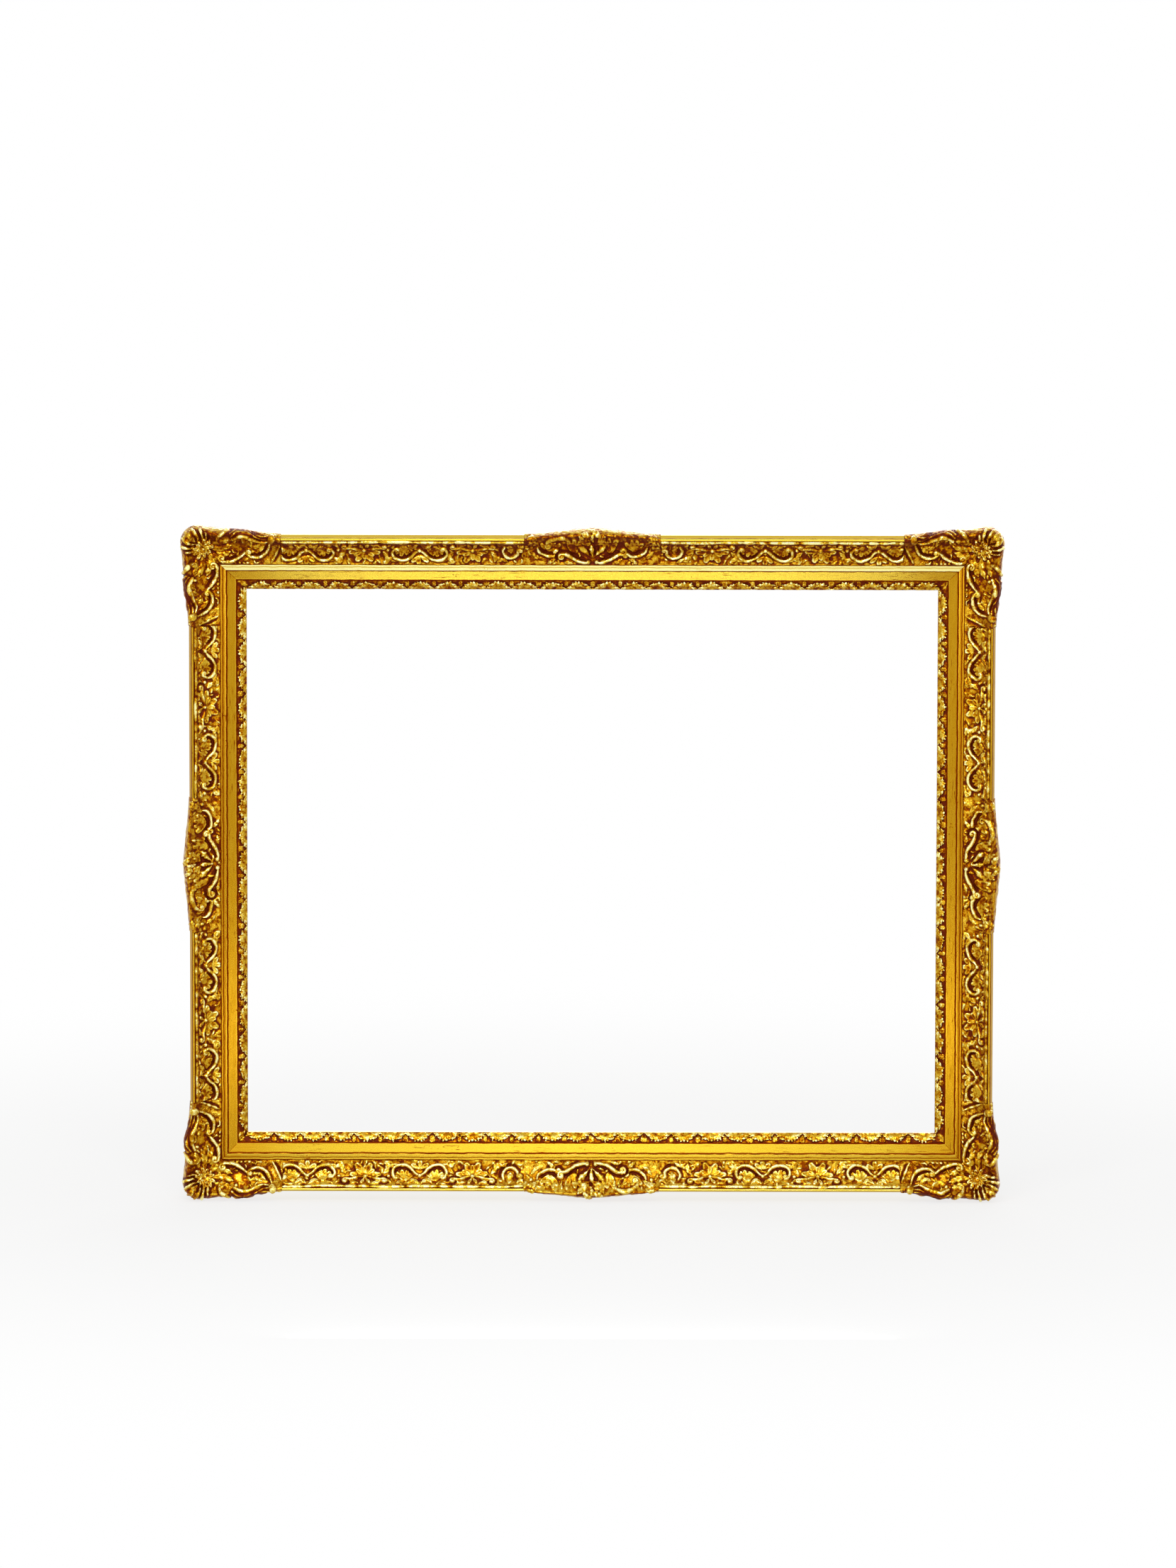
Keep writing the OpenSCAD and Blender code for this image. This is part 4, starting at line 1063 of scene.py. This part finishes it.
def gilt_moulding(name, grain_axis, gold, rim_wear_and_highlight, fillet_painted_light=0.0):
    """The rails and slips: plain gilded bands with dark joints of dirt and painted shade, a worn rim
    with a painted highlight, painted highlights on edges and fillet, worn specks, and bare wood behind
    """
    n = Nodes(name)
    place = n.place()
    width, mitre, deep = flat_width(n, place)
    waver = n.uneven(n.noise(place, 90, 3), WAVER * MM)
    wavy = n.math("ADD", width, waver)
    joints = [n.math("MULTIPLY", line_at(n, wavy, *at), share) for *at, share in JOINT_LINES]
    dirt_and_shade = n.math("MAXIMUM", *joints, n.level(mitre, 0.1 * MM, 0.7 * MM, 0.4, 0.0))
    streak = n.uneven(n.noise(n.drawn(place, grain_axis, 60, 7), 8, 4, 0.6), 0.17)
    threads = n.drawn(place, grain_axis, 60, 3)
    thread = n.level(n.noise(threads, 22, 2, 0.5), 0.63, 0.7)
    specks = n.level(n.noise(place, 360, 2, 0.7), 0.66, 0.74)
    patches = n.level(n.noise(place, 22, 2), 0.42, 0.62)
    # Painted highlights on the rim, the fillet and along edges
    rim = n.level(width, 5 * MM, 5.6 * MM, rim_wear_and_highlight, 0.0)
    on_fillet = n.math("MULTIPLY", n.level(width, COVE_IN * MM, (COVE_IN + 1) * MM),
                       n.level(width, RAIL_IN * MM, (RAIL_IN + 0.5) * MM, 1.0, 0.0))
    painted_highlight = 0.16 + 0.4 * rim_wear_and_highlight
    edge_highlights = [n.math("MULTIPLY", line_at(n, wavy, *at), share * painted_highlight) for *at, share in HIGHLIGHT_LINES]
    tone = n.math("ADD", BAND_TONE, rim, n.math("MULTIPLY", on_fillet, fillet_painted_light), *edge_highlights, streak)
    bared = n.math("MULTIPLY", n.math("MAXIMUM", specks, thread), patches, 0.34)
    tone = n.math("SUBTRACT", tone, bared, n.math("MULTIPLY", dirt_and_shade, JOINT_DIRT_SHADE), clamp=True)
    fine = n.noise(place, 900, 3)
    own, plain = [n.ramp(tone, (*GILT_STOPS[:2], (0.5, tint), *GILT_STOPS[3:]))
                  for tint in (gold, PLAIN_GOLD)]
    leaf = n.principled({
        "Base Color": n.mix(n.level(mitre, 4 * MM, MITRE_FADE * MM, MITRE_SHARE, 0.0), own, plain),
        "Metallic": 1.0,
        "Roughness": n.level(n.math("ADD", tone, n.math("MULTIPLY", fine, 0.15)), 0.2, 0.8, 0.42, 0.22),
        "Normal": n.bump(n.noise(threads, 14, 4), 0.15, 0.0003),
    })
    behind = n.level(n.math("ADD", deep, waver), GILT_TO * MM, WOOD_FROM * MM)
    in_rebate = n.math("MULTIPLY", n.math("GREATER_THAN", width, (REBATE_OUT - 0.5) * MM),
                       n.math("GREATER_THAN", deep, -0.2 * MM))
    bare = n.math("MAXIMUM", behind, in_rebate)
    return n.surface(n.blend(bare, leaf, wood_shader(n, place, grain_axis)))


def zinc():
    """Zinc-plated steel with faint spangle and handling marks"""
    n = Nodes("zinc_plate")
    place = n.place()
    cloud = n.noise(place, 160, 4)
    fine = n.noise(n.drawn(place, 0, 600, 3000), 1, 2)
    return n.surface(n.principled({
        "Base Color": n.ramp(cloud, ((0.3, (0.36, 0.36, 0.35)), (0.7, (0.6, 0.6, 0.58)))),
        "Metallic": 1.0,
        "Roughness": n.level(cloud, 0.3, 0.7, 0.46, 0.3),
        "Normal": n.bump(fine, 0.2, 0.0001),
    }))


def felt():
    n = Nodes("black_felt")
    fibre = n.noise(n.place(), 1800, 4, 0.8)
    return n.surface(n.principled({
        "Base Color": n.ramp(fibre, ((0.3, (0.012, 0.012, 0.013)), (0.75, (0.06, 0.058, 0.056)))),
        "Roughness": 0.95,
        "Sheen Weight": 0.4,
        "Sheen Roughness": 0.5,
        "Normal": n.bump(fibre, 0.8, 0.0005),
    }))


WHITE = (1, 1, 1, 1)


def floor_material():
    """A pale floor that looks white to the camera and in the gold, and keeps the frame's shadow"""
    n = Nodes("studio_floor")
    far = n.add("VectorMath", {0: n.place()}, operation="LENGTH").outputs["Value"]
    paleness = n.level(far, 0.5, 1.5, 0.78, 1.0)
    plain = n.add("BsdfDiffuse", {"Color": (0.8, 0.8, 0.79, 1)}).outputs[0]
    white = n.add("Emission", {"Color": WHITE, "Strength": 1.0}).outputs[0]
    return n.surface(n.blend(n.math("MULTIPLY", n.seen(), paleness), plain, white))


# Building the object

def dress(piece, gilt, *nodes):
    piece.data.materials.append(gilt)
    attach(piece, "frame")
    if nodes:
        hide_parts(*nodes)


# The corner at the near end of each side, and how far its long leaves stand out past its edge
CORNER_NAMES = ("bottom_left", "bottom_right", "top_right", "top_left")
LEAF_OVERHANG = (2.6, 2.6, 0.3, 0.3)
# How much longer than an arm a corner's mesh counts as
CORNER_MORE = 8
# First seeds of each kind of piece but the cove's, which start from zero
LUMP_SEEDS, CORNER_SEEDS, CENTRE_SEEDS, SIGHT_SEEDS = 20, 40, 60, 80


def build_relief(gilt):
    for seed, (side, way) in enumerate(product(range(4), (1, -1))):
        name = SIDE_NAMES[side] + "_" + SIDE_NAMES[(side + way) % 4]
        dress(cove_relief(side, way, "cove_relief_" + name, seed), gilt, "cove_ornament_" + name)
        dress(crest_lumps(side, way, "crest_lumps_" + name, LUMP_SEEDS + seed), gilt)
    for side, name in enumerate(CORNER_NAMES):
        swell = partial(corner_swell, overhang=LEAF_OVERHANG[side])
        piece = casting("corner_relief_" + name, side, corner_plan, swell, CORNER_L + CORNER_MORE,
                        corner_ornament, -half_along(side), CORNER_SHADE[side], CORNER_SEEDS + side)
        dress(piece, gilt, "corner_casting_" + name)
    for side, name in enumerate(SIDE_NAMES):
        piece = casting("centre_relief_" + name, side, centre_plan, centre_swell, CENTRE_L,
                        centre_ornament, 0, SIDE_SHADE[side], CENTRE_SEEDS + side)
        dress(piece, gilt, "centre_casting_" + name)
        dress(sight_relief(side, "sight_relief_" + name, SIGHT_SEEDS + side), gilt, "leaf_strip_" + name)


def paint(node, material):
    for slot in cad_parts[node].material_slots:
        slot.material = material


def paint_nodes():
    """Gives every CAD node that stays its material"""
    # Lit and shaded copies of one gilding: the bottom and top painted lighter, with painted highlights
    # on their rims and the top's fillet, and the uprights plain, with their fillets painted darker
    across = gilt_moulding("gilt_moulding_across", 0, BOTTOM_LIT_GOLD, 0.28)
    top = gilt_moulding("gilt_moulding_top", 0, TOP_LIT_GOLD, 0.18, 0.46)
    upright = gilt_moulding("gilt_moulding_upright", 2, PLAIN_GOLD, 0.06, -0.07)
    golds = (across, upright, top, upright)
    for side, name in enumerate(SIDE_NAMES):
        for kind in ("rail_", "slip_"):
            paint(kind + name, golds[side])
    metal = zinc()
    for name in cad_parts:
        if name.startswith(("hanger", "turn_button", "v_nails")):
            paint(name, metal)
    paint("wall_bumpers", felt())


# Studio

PHOTO_W, PHOTO_H = 1659, 2212
MM_PER_PIXEL = 0.7713
# Where the middle of the frame lies in the photograph
MIDDLE_PX = (835.1, 1215.2)
CAMERA_ELEVATION = 8.5
CAMERA_ROLL = 0.11
CAMERA_AWAY = 12
SENSOR = 36
WORLD_LIGHT = 0.45
FLOOR_REACH = 12
FLOOR_GAP = 0.0002
# Lamps: name, place, aim, size and watts
LAMPS = (
    ("key", (-0.3, -1.9, 1.3), (0, 0, -0.2), (1.6, 0.7), 24),
    ("high_strip", (0, -1.4, 0.12), (0, 0, -0.3), (0.4, 0.2), 0.8),
    ("low_strip", (0, -0.8, -0.36), (0, 0, 0.35), (0.62, 0.1), 1),
    ("rear", (0.6, 3.0, 0.9), (0, 0, 0), (2.6, 1.6), 45),
)


def make_camera():
    data = bpy.data.cameras.new("camera")
    camera = linked("camera", data)
    tilt = radians(CAMERA_ELEVATION)
    back = Vector((0, -cos(tilt), sin(tilt)))
    up = Vector((0, sin(tilt), cos(tilt)))
    pixel = MM_PER_PIXEL * MM
    aside = Vector(((PHOTO_W / 2 - MIDDLE_PX[0]) * pixel, 0, 0))
    camera.location = back * CAMERA_AWAY + aside + up * (MIDDLE_PX[1] - PHOTO_H / 2) * pixel
    camera.rotation_mode = "QUATERNION"
    roll = Quaternion((0, 0, 1), radians(CAMERA_ROLL))
    camera.rotation_quaternion = (-back).to_track_quat("-Z", "Y") @ roll
    data.sensor_width = SENSOR
    data.lens = SENSOR * (CAMERA_AWAY - (SHOULDER_Z - BACK) * MM) / (PHOTO_H * pixel)
    data.clip_end = 100
    bpy.context.scene.camera = camera


def softbox(name, at, aim, size, watts):
    data = bpy.data.lights.new(name, "AREA")
    data.shape = "RECTANGLE"
    data.size, data.size_y = size
    data.energy = watts
    lamp = linked(name, data)
    lamp.location = at
    lamp.rotation_euler = (Vector(aim) - Vector(at)).to_track_quat("-Z", "Y").to_euler()
    lamp.visible_camera = False


def make_world():
    """A world that lights plainly, and is white to the camera and in the gold"""
    n = Nodes("studio", "World")
    strength = n.level(n.seen(), 0, 1, WORLD_LIGHT)
    background = n.add("Background", {"Color": WHITE, "Strength": strength})
    bpy.context.scene.world = n.surface(background.outputs[0])


def make_floor():
    mesh = bpy.data.meshes.new("floor")
    z = cad_box[0].z - FLOOR_GAP
    square = ((-1, -1), (1, -1), (1, 1), (-1, 1))
    mesh.from_pydata([(x * FLOOR_REACH, y * FLOOR_REACH, z) for x, y in square], [], [(0, 1, 2, 3)])
    mesh.materials.append(floor_material())
    linked("floor", mesh)


def make_studio():
    bpy.context.scene.view_settings.view_transform = "Standard"
    make_world()
    make_floor()
    for lamp in LAMPS:
        softbox(*lamp)


build_relief(gilt_relief())
paint_nodes()
make_studio()
make_camera()
